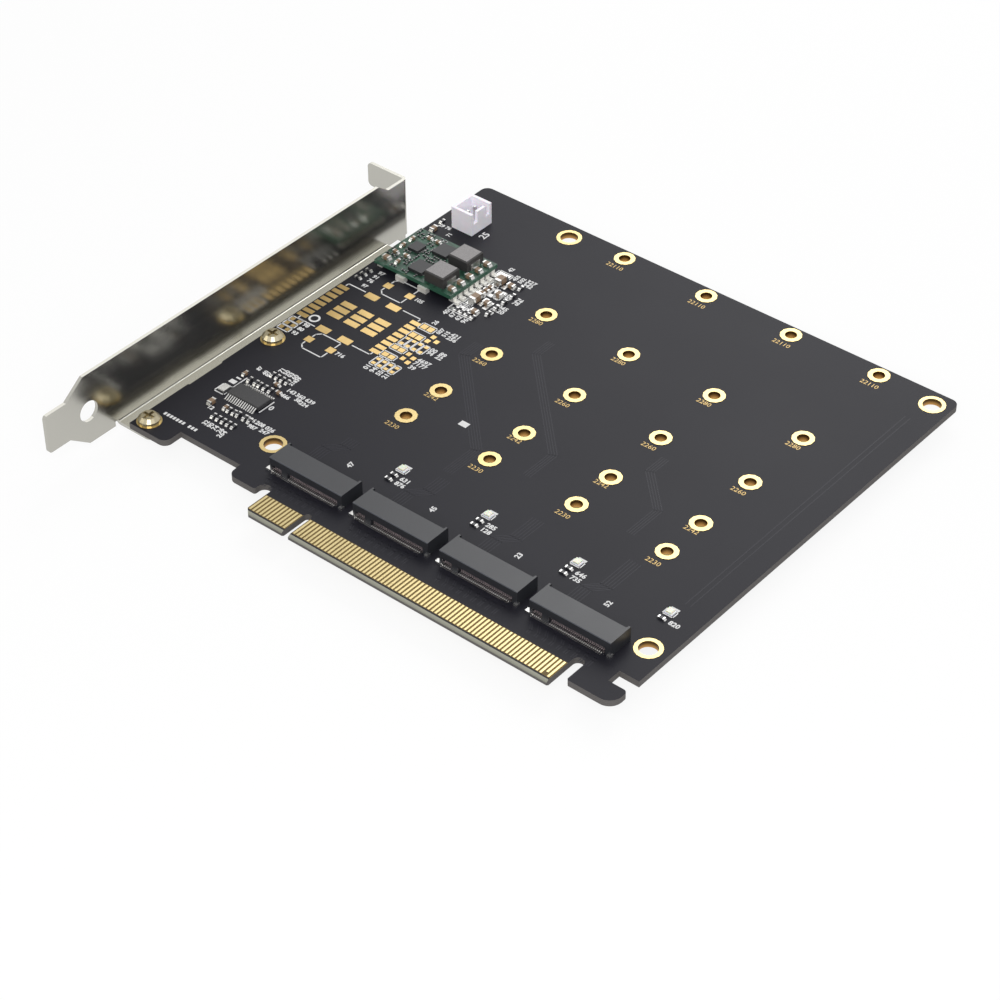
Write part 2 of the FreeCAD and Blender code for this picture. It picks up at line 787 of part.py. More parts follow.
def board_cap_places():
    """Ceramic capacitors on the main board: (x, y, size, along x)."""
    right = module_board_x + module_board_length_x / 2
    low = module_board_y - module_board_length_y / 2
    places = placed(right, low, body_large, False, [(7, 29), (7, 10)])
    places += placed(right, low, body_medium, True, [(13, 2 + row * 9) for row in range(4)])
    places += placed(right, low, body_small, True, [(6, 16), (6, 19), (6, 22)])
    places += placed(chip_x, chip_y, body_small, False, [(-14, 12), (-3, -12)])
    places += placed(chip_x, chip_y, body_medium, False, [(-11, -13)])
    places += placed(chip_x, chip_y, body_small, True, [(3, 15), (8, 11)])
    places += placed(board_left, header_y, body_medium, False, [(5, -15)])
    return places


def resistor_places():
    """Chip resistors on the main board: (x, y, size, along x)."""
    right = module_board_x + module_board_length_x / 2
    low = module_board_y - module_board_length_y / 2
    places = placed(right, low, body_small, False, [(19, 5 + row * 6) for row in range(4)])
    places += placed(chip_x, chip_y, body_small, False, [(-9, 10), (-5, 10), (5, -12), (9, -12)])
    return places


def bodies_and_ends(places, z_low):
    bodies = [part_body(x, y, z_low, size, along_x) for x, y, size, along_x in places]
    ends = []
    for x, y, size, along_x in places:
        ends += part_ends(x, y, z_low, size, along_x)
    return bodies, ends


def led_places():
    return [(x + led_offset_x, led_y) for x in module_columns]


def make_led_bases():
    return group([block(x, y, board_face, led_length, led_width, led_height / 2) for x, y in led_places()])


def make_led_lenses():
    return group([block(x, y, board_face + led_height / 2, led_length - 2 * led_lens_inset, led_width,
                        led_height / 2) for x, y in led_places()])


# ---- build -----------------------------------------------------------------------------------------------------

def build():
    nodes = {
        "main_board": make_board(),
        "edge_contacts_front": contact_solids(board_face, contacts_before_key + contacts_after_key - 1),
        "edge_contacts_back": contact_solids(board_back - gold_thickness, 1),
        "corner_hole_plating": make_corner_plating(),
        "module_nuts": make_module_nuts(),
        "socket_holddowns": group([tab for x in module_columns for tab in holddown_boxes(x)]),
        "bracket": make_bracket(),
        "bracket_screws": make_screws(),
        "power_header_housing": make_header_housing(),
        "power_header_pins": make_header_pins(),
        "power_module_board": block(module_board_x, module_board_y, module_board_bottom,
                                    module_board_length_x, module_board_length_y, module_board_thickness),
        "power_module_legs": make_module_legs(),
        "power_inductor_low": make_inductor(0),
        "power_inductor_high": make_inductor(1),
        "power_inductor_terminals": make_inductor_terminals(),
        "power_stage_chips": make_power_stages(),
        "power_controller_chip": make_module_controller(),
        "clock_chip_body": make_chip_body(),
        "clock_chip_leads": make_chip_leads(),
        "status_led_bases": make_led_bases(),
        "status_led_lenses": make_led_lenses(),
    }
    for number, middle_x in enumerate(module_columns, 1):
        nodes["socket_%d_housing" % number] = make_socket_housing(middle_x)
        nodes["socket_%d_leads" % number] = make_socket_leads(middle_x)
    bodies, ends = bodies_and_ends(module_cap_places(), module_board_top)
    nodes["power_module_capacitors"] = group(bodies)
    nodes["power_module_capacitor_ends"] = group(ends)
    bodies, ends = bodies_and_ends(board_cap_places(), board_face)
    nodes["board_capacitors"] = group(bodies)
    nodes["board_capacitor_ends"] = group(ends)
    bodies, ends = bodies_and_ends(resistor_places(), board_face)
    nodes["chip_resistors"] = group(bodies)
    nodes["chip_resistor_ends"] = group(ends)
    return nodes


def save(nodes):
    os.makedirs("parts", exist_ok=True)
    for name, shape in nodes.items():
        if not shape.isValid():
            raise ValueError("the shape of %s is not valid" % name)
        shape.exportStep(os.path.join("parts", name + ".step"))
        box_of = shape.BoundBox
        print("%-28s solids %3d  volume %9.2f  z %.2f to %.2f" %
              (name, len(shape.Solids), shape.Volume, box_of.ZMin, box_of.ZMax))


save(build())
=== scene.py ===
"""Looks of a four-drive expansion card: finishes on its CAD pieces, printed marks, bare pads and solder."""

import math
import random

import bmesh
import bpy
from mathutils import Matrix, Vector


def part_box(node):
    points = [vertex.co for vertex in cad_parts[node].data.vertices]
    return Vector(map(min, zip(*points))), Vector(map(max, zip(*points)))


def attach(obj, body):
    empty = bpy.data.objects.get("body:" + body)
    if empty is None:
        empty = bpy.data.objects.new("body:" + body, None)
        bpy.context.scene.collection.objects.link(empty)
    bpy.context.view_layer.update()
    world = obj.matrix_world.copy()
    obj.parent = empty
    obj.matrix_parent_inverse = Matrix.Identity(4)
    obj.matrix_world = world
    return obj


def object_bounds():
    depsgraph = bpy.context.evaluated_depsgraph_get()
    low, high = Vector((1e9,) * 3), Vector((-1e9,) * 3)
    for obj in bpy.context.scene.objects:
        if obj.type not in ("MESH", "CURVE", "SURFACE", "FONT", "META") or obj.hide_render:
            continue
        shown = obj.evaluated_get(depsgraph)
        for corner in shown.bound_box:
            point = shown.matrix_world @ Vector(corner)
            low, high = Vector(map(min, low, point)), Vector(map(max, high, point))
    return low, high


bl_info = {
    "name": "Drive Adapter Card",
    "version": (1, 0, 0),
    "blender": (4, 5, 0),
    "location": "3D View > Sidebar > Card",
    "description": "Finishes, printed marks, pads and studio of a drive adapter card",
    "category": "Object",
}

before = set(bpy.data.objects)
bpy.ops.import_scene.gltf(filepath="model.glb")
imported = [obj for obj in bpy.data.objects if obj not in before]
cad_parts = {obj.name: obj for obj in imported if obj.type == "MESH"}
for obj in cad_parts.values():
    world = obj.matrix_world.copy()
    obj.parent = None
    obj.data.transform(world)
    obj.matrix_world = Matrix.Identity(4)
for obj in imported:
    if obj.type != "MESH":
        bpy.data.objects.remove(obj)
CAD_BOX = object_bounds()
MM = 0.001
BODY = "root"


def box_mm(node):
    """Lowest and highest corner of a CAD node, in millimetres."""
    low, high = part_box(node)
    return low / MM, high / MM


BOARD_LOW, BOARD_HIGH = box_mm("main_board")
FACE_Z = BOARD_HIGH.z
BACK_Z = BOARD_LOW.z
NUTS_LOW, NUTS_HIGH = box_mm("module_nuts")
CHIP_LOW, CHIP_HIGH = box_mm("clock_chip_body")
CHIP_MID = (CHIP_LOW + CHIP_HIGH) / 2
POWER_LOW, POWER_HIGH = box_mm("power_module_board")
POWER_MID = (POWER_LOW + POWER_HIGH) / 2
HEADER_LOW, HEADER_HIGH = box_mm("power_header_housing")
SCREWS_LOW, SCREWS_HIGH = box_mm("bracket_screws")
LIGHTS_LOW, LIGHTS_HIGH = box_mm("status_led_bases")
CONTACTS_LOW, CONTACTS_HIGH = box_mm("edge_contacts_front")
SOCKETS = [box_mm("socket_%d_housing" % number) for number in (1, 2, 3, 4)]
PITCH = (SOCKETS[3][0].x - SOCKETS[0][0].x) / 3
NUT_RADIUS = (NUTS_HIGH.x - NUTS_LOW.x - 3 * PITCH) / 2
COLUMNS = [NUTS_LOW.x + NUT_RADIUS + place * PITCH for place in range(4)]
DRIVE_LENGTHS = (30, 42, 60, 80, 110)
DATUM_Y = NUTS_HIGH.y - NUT_RADIUS - DRIVE_LENGTHS[-1]
NUMBER_DROPS = (4.5, 3.1, 4.1, 3.6, 4.1)
CONTACT_PITCH = 1.0
LEAD_COUNT = 37
LEAD_PITCH = 0.5
KEY_FROM_LAST_LEAD = 4.4
KEY_HALF_WIDTH = 1.0
# length, width and height
CHIP_RESISTOR = (1.6, 0.8, 0.5)
FILLET_INSET = 0.04
# height of a figure in shares of its font's size
FIGURE_SHARE = 0.70
# how a pattern is stretched where a surface was rubbed along Y
RUBBED = (1.0, 0.03, 1.0)


# ---- sizes and colours that a user would change ---------------------------------------------------

def length(name, text, default, signed=False):
    return bpy.props.FloatProperty(name=name, description=text, default=default, precision=3,
                                   min=-500.0 if signed else 0.0)


def colour(name, text, default):
    return bpy.props.FloatVectorProperty(name=name, description=text, default=default, size=3,
                                         min=0.0, max=1.0, subtype="COLOR")


class CardColours(bpy.types.PropertyGroup):
    """Colours of the card's finishes."""

    mask: colour("Solder mask", "Charcoal solder mask on both faces", (0.0098, 0.0096, 0.0140))
    track: colour("Mask over copper", "Mask where a track lies under it, a little lighter",
                  (0.01521, 0.01492, 0.0213))
    laminate: colour("Laminate edge", "Cut glass-fibre edge of the board", (0.105, 0.098, 0.095))
    bare: colour("Bare laminate", "Unmasked laminate between the edge contacts", (0.150, 0.105, 0.038))
    bevel: colour("Bevelled edge", "Bevel of the connector tongue", (0.28, 0.28, 0.23))
    gold: colour("Gold", "Gold plate on contacts, pads and rings", (0.70, 0.50, 0.215))
    # painted shade: the brown on the contacts' sides stands for shade on the flat plating
    finger_side_shade: colour("Contact sides", "Brown sides of the edge contacts", (0.26, 0.175, 0.055))
    # painted shade: the copper-brown of the hole walls stands for the gold plating in shade
    bore_shade: colour("Bore", "Copper-brown wall of plated bores", (0.80, 0.44, 0.14))
    tin: colour("Tin", "Tin plate and solder", (0.66, 0.655, 0.64))
    rose: colour("Rose tin", "Leads with copper showing faintly through the tin", (0.46, 0.38, 0.40))
    solder: colour("Solder", "Solder-coated legs, frosted by reflow", (0.80, 0.79, 0.75))
    steel: colour("Bracket steel", "Stainless sheet of the bracket", (0.56, 0.55, 0.50))
    screw: colour("Bracket screw", "Yellow plate on the bracket screws", (0.52, 0.46, 0.32))
    ink: colour("Ink", "White printed marks", (0.66, 0.66, 0.66))
    socket: colour("Socket plastic", "Black moulded sockets", (0.0200, 0.0212, 0.0252))
    nylon: colour("Header nylon", "White power header", (0.88, 0.86, 0.92))
    green: colour("Module board", "Green board of the power module", (0.014, 0.048, 0.030))
    ferrite: colour("Inductor", "Moulded iron powder", (0.215, 0.205, 0.205))
    package: colour("Chip package", "Black moulding compound", (0.018, 0.018, 0.020))
    ceramic: colour("Capacitor ceramic", "Tan ceramic of the capacitors", (0.21, 0.138, 0.085))
    glaze: colour("Resistor glaze", "Dark glaze of the resistors", (0.022, 0.022, 0.026))
    lens: colour("Lamp lens", "Milky resin of the status lights", (0.72, 0.73, 0.60))


class CardSizes(bpy.types.PropertyGroup):
    """Sizes of the printed marks and small additions, in millimetres."""

    ink_thickness: length("Ink thickness", "How far printed ink stands on the mask", 0.02)
    ink_stroke: length("Ink stroke", "Width of a printed line", 0.2)
    pad_thickness: length("Pad thickness", "How far a bare pad stands on the board", 0.035)
    number_height: length("Number height", "Height of the drive length numbers", 1.35)
    mark_height: length("Mark height", "Height of the smallest printed numbers", 1.2)
    screw_land: length("Screw land", "Diameter of the bare land under a bracket screw", 5.9)
    spare_shift: length("Spare place shift", "From the fitted module's middle along X to the spare place's",
                        -0.9, True)
    spare_drop: length("Spare place drop", "From the fitted module's middle down to the spare place's", 26.7)
    print_repeat: length("Print repeat", "From the spare place's figures up to the fitted module's", 27.85)
    track_width: length("Track width", "Width of a copper track under the mask", 0.22)
    track_height: length("Track height", "How far a track lifts the mask", 0.012)


class StageSettings(bpy.types.PropertyGroup):
    """Camera and light."""

    lens: length("Lens", "Focal length in millimetres on a 36 mm sensor", 100.893)
    world_level: bpy.props.FloatProperty(name="World level", description="Strength of the even white light",
                                         default=0.52, min=0.0)
    key_watts: bpy.props.FloatProperty(name="Key light", description="Power of the large panel in watts",
                                       default=1.9, min=0.0, unit="POWER")


def colours():
    return bpy.context.scene.card_colours


def sizes():
    return bpy.context.scene.card_sizes


# ---- shader helpers ---------------------------------------------------------------------------------

class Nodes:
    """Short calls for the nodes of one tree; a socket given as a value is linked, the rest is set."""

    def __init__(self, tree):
        self.tree = tree
        self.coordinates = None

    def feed(self, socket, value):
        if isinstance(value, bpy.types.NodeSocket):
            self.tree.links.new(value, socket)
        elif socket.type == "RGBA" and len(value) == 3:
            socket.default_value = (*value, 1.0)
        else:
            socket.default_value = value

    def node(self, kind, feeds, **attributes):
        """A new node; feeds holds its inputs by name or number."""
        node = self.tree.nodes.new("ShaderNode" + kind)
        for key, value in attributes.items():
            setattr(node, key, value)
        for key, value in feeds.items():
            self.feed(node.inputs[key], value)
        return node

    def math(self, operation, *values, clamp=False):
        return self.node("Math", dict(enumerate(values)), operation=operation, use_clamp=clamp).outputs[0]

    def mix(self, factor, first, second):
        return self.node("Mix", {0: factor, 6: first, 7: second}, data_type="RGBA").outputs[2]

    def ramp(self, value, start, end):
        """0 at start, 1 at end, and held beyond them."""
        return self.node("MapRange", {0: value, 1: start, 2: end, 3: 0.0, 4: 1.0}, clamp=True).outputs[0]

    def place(self, kind="Object"):
        if self.coordinates is None:
            self.coordinates = self.tree.nodes.new("ShaderNodeTexCoord")
        return self.coordinates.outputs[kind]

    def split(self, kind):
        """X, Y and Z of the object coordinates in metres, or of the normal."""
        return self.node("SeparateXYZ", {0: self.place(kind)}).outputs[:]

    def facing(self):
        """How squarely a face looks up or down, from 0 to 1."""
        return self.math("ABSOLUTE", self.split("Normal")[2])

    def noise(self, scale, detail=2.0, roughness=0.5, stretch=None):
        where = self.place()
        if stretch:
            where = self.node("Mapping", {"Vector": where, "Scale": stretch}).outputs[0]
        feeds = {"Vector": where, "Scale": scale, "Detail": detail, "Roughness": roughness}
        return self.node("TexNoise", feeds).outputs["Fac"]

    def bump(self, height, distance, strength=1.0):
        return self.node("Bump", {"Height": height, "Distance": distance, "Strength": strength}).outputs[0]


class Shade(Nodes):
    """A new material and its nodes."""

    def __init__(self, name):
        self.material = bpy.data.materials.new(name)
        self.material.use_nodes = True
        super().__init__(self.material.node_tree)

    def skin(self, tint, gloss, drift=0.08, gloss_drift=0.04, patch=60.0, grain=4000.0, depth=0.000004):
        """The shared fine skin: its colour, roughness and normal."""
        feeds = {"Color": tint, "Gloss": gloss, "Drift": drift, "Gloss drift": gloss_drift,
                 "Patch scale": patch, "Grain scale": grain, "Grain depth": depth}
        return self.node("Group", feeds, node_tree=fine_surface_group()).outputs[:]

    def rub(self, line_scale):
        return self.node("Group", {"Line scale": line_scale}, node_tree=rub_lines_group()).outputs[0]

    def set(self, base_color, roughness, normal, **others):
        """Feeds the surface and gives back the material."""
        values = {"Base Color": base_color, "Roughness": roughness, "Normal": normal}
        values.update((key.replace("_", " ").title().replace("Ior", "IOR"), others[key]) for key in others)
        for name, value in values.items():
            self.feed(self.tree.nodes["Principled BSDF"].inputs[name], value)
        return self.material


def shared_group(name, inputs, outputs):
    """A new node group with named sockets: its nodes, what it is given and its results."""
    tree = bpy.data.node_groups.new(name, "ShaderNodeTree")
    for title, kind, default in inputs:
        socket = tree.interface.new_socket(name=title, in_out="INPUT", socket_type="NodeSocket" + kind)
        socket.default_value = default
    for title, kind in outputs:
        tree.interface.new_socket(name=title, in_out="OUTPUT", socket_type="NodeSocket" + kind)
    given = tree.nodes.new("NodeGroupInput").outputs
    results = tree.nodes.new("NodeGroupOutput").inputs
    return Nodes(tree), given, results


def fine_surface_group():
    """Shared skin of moulded, masked and plated pieces: tint drift, gloss drift and a fine bump."""
    name = "fine_surface"
    if name in bpy.data.node_groups:
        return bpy.data.node_groups[name]
    inputs = (("Color", "Color", (0.5, 0.5, 0.5, 1.0)), ("Drift", "Float", 0.1), ("Gloss", "Float", 0.4),
              ("Gloss drift", "Float", 0.05), ("Patch scale", "Float", 60.0),
              ("Grain scale", "Float", 4000.0), ("Grain depth", "Float", 0.000004))
    outputs = (("Color", "Color"), ("Roughness", "Float"), ("Normal", "Vector"))
    nodes, given, results = shared_group(name, inputs, outputs)
    swing = nodes.math("MULTIPLY_ADD", nodes.noise(given["Patch scale"], 3.0), 2.0, -1.0)
    brightness = nodes.math("MULTIPLY_ADD", swing, given["Drift"], 1.0)
    tinted = nodes.node("VectorMath", {0: given["Color"], "Scale": brightness}, operation="SCALE")
    nodes.feed(results["Color"], tinted.outputs[0])
    nodes.feed(results["Roughness"], nodes.math("MULTIPLY_ADD", swing, given["Gloss drift"], given["Gloss"]))
    nodes.feed(results["Normal"], nodes.bump(nodes.noise(given["Grain scale"]), given["Grain depth"]))
    return nodes.tree


def rub_lines_group():
    """Shared mask of the faint lines that sliding in leaves on gold plate."""
    name = "rub_lines"
    if name in bpy.data.node_groups:
        return bpy.data.node_groups[name]
    nodes, given, results = shared_group(name, (("Line scale", "Float", 1500.0),), (("Rub", "Float"),))
    nodes.feed(results["Rub"], nodes.noise(given["Line scale"], 2.0, 0.6, RUBBED))
    return nodes.tree


def scaled(tint, *shares):
    """A colour with its channels multiplied by one share, or by one each."""
    return tuple(channel * share for channel, share in zip(tint, shares * 3))


# ---- finishes ---------------------------------------------------------------------------------------

# look: (material, colour, share of the colour kept, gloss, settings of the fine skin, surface settings)
METAL = {"metallic": 1.0}
PLAIN_LOOKS = {
    "track": ("masked_copper", "track", 1.0, 0.38, (0.12, 0.04, 25.0, 2600.0, 0.000002),
              {"specular_ior_level": 0.18}),
    "gold_print": ("dull_gold", "gold", 0.62, 0.46, (0.25, 0.08, 900.0, 3000.0, 0.000003), METAL),
    "tin": ("tin_plate", "tin", 1.0, 0.32, (0.12, 0.10, 500.0, 3000.0, 0.000006), METAL),
    "dull_tin": ("dull_tin", "tin", 0.42, 0.46, (0.35, 0.10, 1400.0, 3000.0, 0.000006), METAL),
    "rose_tin": ("rose_tin", "rose", 1.0, 0.38, (0.25, 0.10, 1500.0, 3000.0, 0.000004), {"metallic": 0.9}),
    "solder": ("frosted_solder", "solder", 1.0, 0.50, (0.12, 0.10, 500.0, 2600.0, 0.000010),
               {"metallic": 0.55}),
    "screw": ("screw_plate", "screw", 0.86, 0.37, (0.15, 0.10, 700.0, 2500.0, 0.000006), METAL),
    "nylon": ("header_nylon", "nylon", 1.0, 0.42, (0.05, 0.06, 300.0, 3500.0, 0.000006),
              {"subsurface_weight": 0.15, "subsurface_scale": 0.0008}),
    "package": ("chip_package", "package", 1.0, 0.45, (0.10, 0.05, 300.0, 4200.0, 0.000008), {}),
    "ceramic": ("capacitor_ceramic", "ceramic", 1.0, 0.38, (0.22, 0.06, 330.0, 3000.0, 0.000005), {}),
    "glaze": ("resistor_glaze", "glaze", 1.0, 0.30, (0.15, 0.05, 330.0), {}),
    "ink": ("screen_ink", "ink", 1.0, 0.62, (0.16, 0.05, 900.0, 5000.0, 0.000006), {}),
    "lens": ("lamp_lens", "lens", 1.0, 0.20, (0.05, 0.04, 500.0),
             {"subsurface_weight": 0.4, "subsurface_scale": 0.0006}),
}


def mask_finish():
    """Charcoal mask on the faces, cut laminate on the edges, bare laminate between the contacts."""
    shade = Shade("solder_mask")
    tint = colours()
    color, _, normal = shade.skin(tint.mask, 0.34, 0.12, 0.03, 25.0, 2600.0, 0.000002)
    along_x, along_y, height = shade.split("Object")
    facing = shade.facing()
    face = shade.math("GREATER_THAN", facing, 0.97)
    bevel = shade.math("MULTIPLY", shade.math("GREATER_THAN", facing, 0.3), shade.math("SUBTRACT", 1.0, face))
    plies = shade.node("TexWave", {"Vector": shade.place(), "Scale": 650.0, "Distortion": 1.0},
                       wave_type="BANDS", bands_direction="Z").outputs["Fac"]
    fibres = shade.noise(900.0, 3.0, 0.6, (1.0, 1.0, 3.0))
    streak = shade.math("MULTIPLY_ADD", plies, 0.25, 0.5)
    streak = shade.math("MULTIPLY_ADD", fibres, 0.5, streak)
    laminate = shade.mix(streak, scaled(tint.laminate, 0.55), tint.laminate)
    low = shade.ramp(height, (FACE_Z - 0.15) * MM, (FACE_Z - 0.65) * MM)
    chamfer = shade.mix(shade.math("MULTIPLY", low, 0.8), tint.bevel, scaled(tint.bevel, 0.4))
    inside = 1.0
    for value, start, end in ((along_x, CONTACTS_LOW.x - 0.6, CONTACTS_HIGH.x + 0.6),
                              (along_y, CONTACTS_LOW.y - 0.15, CONTACTS_HIGH.y + 0.15)):
        inside = shade.math("MULTIPLY", inside, shade.math("GREATER_THAN", value, start * MM))
        inside = shade.math("MULTIPLY", inside, shade.math("LESS_THAN", value, end * MM))
    painted = shade.mix(inside, color, shade.mix(fibres, scaled(tint.bare, 0.7), tint.bare))
    base = shade.mix(face, shade.mix(bevel, laminate, chamfer), painted)
    rough = shade.math("MULTIPLY_ADD", shade.noise(40.0), 0.05, shade.math("MULTIPLY_ADD", face, -0.20, 0.64))
    return shade.set(base, rough, normal, specular_ior_level=0.17)


def gold_finish():
    """Gold plate with faint rub lines along the way a card slides in."""
    shade = Shade("gold_plate")
    tint = colours().gold
    color, gloss, normal = shade.skin(tint, 0.26, 0.10, 0.08, 220.0, 2500.0, 0.000002)
    rub = shade.rub(1500.0)
    base = shade.mix(shade.math("MULTIPLY", rub, 0.35), color, scaled(tint, 0.62))
    return shade.set(base, shade.math("MULTIPLY_ADD", rub, 0.10, gloss), normal, metallic=1.0)


def contact_finish():
    """Edge contacts: deep gold, with painted shade in brown towards both sides of each finger, rubbed along
    its length.
    """
    shade = Shade("contact_gold")
    tint = scaled(colours().gold, 0.84, 0.98, 1.20)
    color, gloss, normal = shade.skin(tint, 0.28, 0.12, 0.08, 160.0, 2500.0, 0.000002)
    across = shade.math("FRACT", shade.math("MULTIPLY", shade.split("Object")[0], 1.0 / (CONTACT_PITCH * MM)))
    # Painted shade: the fingers turn brown towards both of their sides.
    side = shade.ramp(shade.math("ABSOLUTE", shade.math("SUBTRACT", across, 0.5)), 0.14, 0.34)
    rub = shade.rub(1500.0)
    face = shade.mix(shade.math("MULTIPLY", rub, 0.3), color, scaled(tint, 0.6))
    base = shade.mix(side, face, colours().finger_side_shade)
    return shade.set(base, shade.math("MULTIPLY_ADD", side, 0.18, gloss), normal, metallic=1.0)


def ring_finish():
    """Plated rings and nuts: pale gold tops, painted shade on sloped edges and as copper-brown down the
    holes, brass below the board.
    """
    shade = Shade("plated_ring")
    tint = colours()
    plate = scaled(tint.gold, 0.84, 0.91, 0.98)
    color, _, normal = shade.skin(plate, 0.28, 0.10, 0.08, 220.0, 2500.0, 0.000002)
    facing = shade.facing()
    height = shade.split("Object")[2]
    top = shade.math("GREATER_THAN", facing, 0.5)
    # Painted shade: the hole wall darkens to a tenth of its colour towards the board's face.
    bore_top_shade = shade.ramp(height, (BACK_Z - 0.4) * MM, (FACE_Z - 0.5) * MM)
    wall = shade.mix(bore_top_shade, tint.bore_shade, scaled(tint.bore_shade, 0.10))
    shank = shade.math("LESS_THAN", height, (BACK_Z - 0.3) * MM)
    wall = shade.mix(shank, wall, scaled(plate, 0.85))
    # Painted shade: sloped faces at the edges of the tops are a darker gold.
    rim_shade = shade.math("LESS_THAN", facing, 0.96)
    base = shade.mix(top, wall, shade.mix(rim_shade, color, scaled(tint.gold, 0.45)))
    return shade.set(base, shade.math("MULTIPLY_ADD", top, -0.16, 0.44), normal, metallic=1.0)


def steel_finish():
    """Bright stainless sheet: long faint rolling lines, a soft uneven gloss, and its upward faces along the
    board painted paler as light.
    """
    shade = Shade("bracket_sheet")
    tint = colours().steel
    lines = shade.noise(900.0, 2.0, 0.6, (1.0, 0.02, 1.0))
    cloud = shade.noise(30.0, 3.0)
    # Painted light: faces that look up are painted 1.4 times paler.
    upward_light = shade.math("GREATER_THAN", shade.split("Normal")[2], 0.9)
    base = shade.mix(upward_light, shade.mix(cloud, scaled(tint, 0.80), scaled(tint, 0.92)), scaled(tint, 1.4))
    rough = shade.math("MULTIPLY_ADD", cloud, 0.06, shade.math("MULTIPLY_ADD", lines, 0.10, 0.13))
    return shade.set(base, rough, shade.bump(lines, 0.0000015), metallic=1.0)


def socket_finish():
    """Black moulding: satin faces with a fine spark-eroded grain, and glossier corners painted paler as a
    highlight.
    """
    shade = Shade("socket_plastic")
    tint = colours().socket
    color, gloss, normal = shade.skin(tint, 0.36, 0.10, 0.05, 150.0, 5200.0, 0.000007)
    largest = 0.0
    for part in shade.split("Normal"):
        largest = shade.math("MAXIMUM", largest, shade.math("ABSOLUTE", part))
    # Painted highlight: slanted faces at the corners are painted three times paler.
    corner = shade.math("LESS_THAN", largest, 0.96)
    return shade.set(shade.mix(corner, color, scaled(tint, 3.0)),
                     shade.math("MULTIPLY_ADD", corner, -0.12, gloss), normal)


def green_finish():
    """Green mask with the copper showing through as darker and lighter fields."""
    shade = Shade("module_mask")
    tint = colours().green
    cells = shade.node("TexVoronoi", {"Vector": shade.place(), "Scale": 330.0}, feature="DISTANCE_TO_EDGE")
    tracks = shade.math("LESS_THAN", cells.outputs["Distance"], 0.10)
    face = shade.math("GREATER_THAN", shade.facing(), 0.9)
    base = shade.mix(face, scaled(tint, 1.9), shade.mix(tracks, scaled(tint, 1.7), tint))
    return shade.set(base, 0.28, shade.bump(tracks, 0.00001, 0.6))


def ferrite_finish():
    """Moulded iron powder: pale ground top, darker sides, fine grains."""
    shade = Shade("inductor_powder")
    tint = colours().ferrite
    grains = shade.node("TexVoronoi", {"Vector": shade.place(), "Scale": 3200.0}).outputs["Distance"]
    top = shade.math("GREATER_THAN", shade.split("Normal")[2], 0.8)
    base = shade.mix(top, scaled(tint, 0.16), shade.mix(grains, scaled(tint, 0.8), scaled(tint, 1.15)))
    return shade.set(base, 0.46, shade.bump(grains, 0.00002, 0.5))


MADE_LOOKS = {"mask": mask_finish, "gold": gold_finish, "contact": contact_finish, "ring": ring_finish,
              "steel": steel_finish, "socket": socket_finish, "green": green_finish,
              "ferrite": ferrite_finish}
FINISHES = {}


def finish(look):
    """The material of a look, made once."""
    if look in FINISHES:
        return FINISHES[look]
    if look in MADE_LOOKS:
        FINISHES[look] = MADE_LOOKS[look]()
    else:
        material, tint, share, gloss, settings, surface = PLAIN_LOOKS[look]
        shade = Shade(material)
        tint = scaled(getattr(colours(), tint), share)
        FINISHES[look] = shade.set(*shade.skin(tint, gloss, *settings), **surface)
    return FINISHES[look]


def dress(**looks):
    """Gives each named CAD node one finish in all its material slots."""
    for node, look in looks.items():
        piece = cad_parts[node]
        piece.data.materials.clear()
        piece.data.materials.append(finish(look))


# ---- mesh helpers, in millimetres -------------------------------------------------------------------

def ordered(corner, opposite):
    """The lowest and the highest corner of the box between two points."""
    return tuple(Vector([pick(pair) for pair in zip(corner, opposite)]) for pick in (min, max))


def add_block(bm, corner, opposite):
    """A block between two opposite corners."""
    low, high = ordered(corner, opposite)
    place = Matrix.Translation((high + low) / 2) @ Matrix.Diagonal((*(high - low), 1.0))
    return bmesh.ops.create_cube(bm, size=1.0, matrix=place)["verts"]


def add_flat(bm, middle_x, middle_y, size_x, size_y, thickness, base=FACE_Z):
    """A thin patch on the component side, or on a base at another height."""
    add_block(bm, (middle_x - size_x / 2, middle_y - size_y / 2, base),
              (middle_x + size_x / 2, middle_y + size_y / 2, base + thickness))


def add_stroke(bm, start, end, width, thickness):
    """A thin straight line between two points of the component side."""
    run = Vector((end[0] - start[0], end[1] - start[1]))
    middle = Vector(((start[0] + end[0]) / 2, (start[1] + end[1]) / 2, FACE_Z + thickness / 2))
    place = (Matrix.Translation(middle) @ Matrix.Rotation(math.atan2(run.y, run.x), 4, "Z")
             @ Matrix.Diagonal((run.length + width, width, thickness, 1.0)))
    bmesh.ops.create_cube(bm, size=1.0, matrix=place)


def add_path(bm, points, width, thickness):
    """Straight lines from point to point."""
    for start, end in zip(points, points[1:]):
        add_stroke(bm, start, end, width, thickness)


def add_line(bm, points, weight=1.6):
    """A printed line from point to point; weight is its stroke in shares of the usual one."""
    add_path(bm, points, sizes().ink_stroke * weight, sizes().ink_thickness)


def add_frame(bm, middle_x, middle_y, size_x, size_y, weight=1.5):
    """A printed rectangular outline."""
    half_x, half_y = size_x / 2, size_y / 2
    corners = [(middle_x - half_x, middle_y - half_y), (middle_x + half_x, middle_y - half_y),
               (middle_x + half_x, middle_y + half_y), (middle_x - half_x, middle_y + half_y)]
    add_line(bm, corners + corners[:1], weight)


def add_ring(bm, middle_x, middle_y, outer, inner, thickness, segments=32):
    """A flat ring on the component side: a rectangular section spun about an upright axis."""
    top = FACE_Z + thickness
    corners = [(inner, FACE_Z), (outer, FACE_Z), (outer, top), (inner, top)]
    verts = [bm.verts.new((middle_x + radius, middle_y, height)) for radius, height in corners]
    edges = [bm.edges.new((verts[index], verts[(index + 1) % 4])) for index in range(4)]
    bmesh.ops.spin(bm, geom=verts + edges, cent=(middle_x, middle_y, 0), axis=(0, 0, 1),
                   angle=2 * math.pi, steps=segments, use_merge=True, dvec=(0, 0, 0))


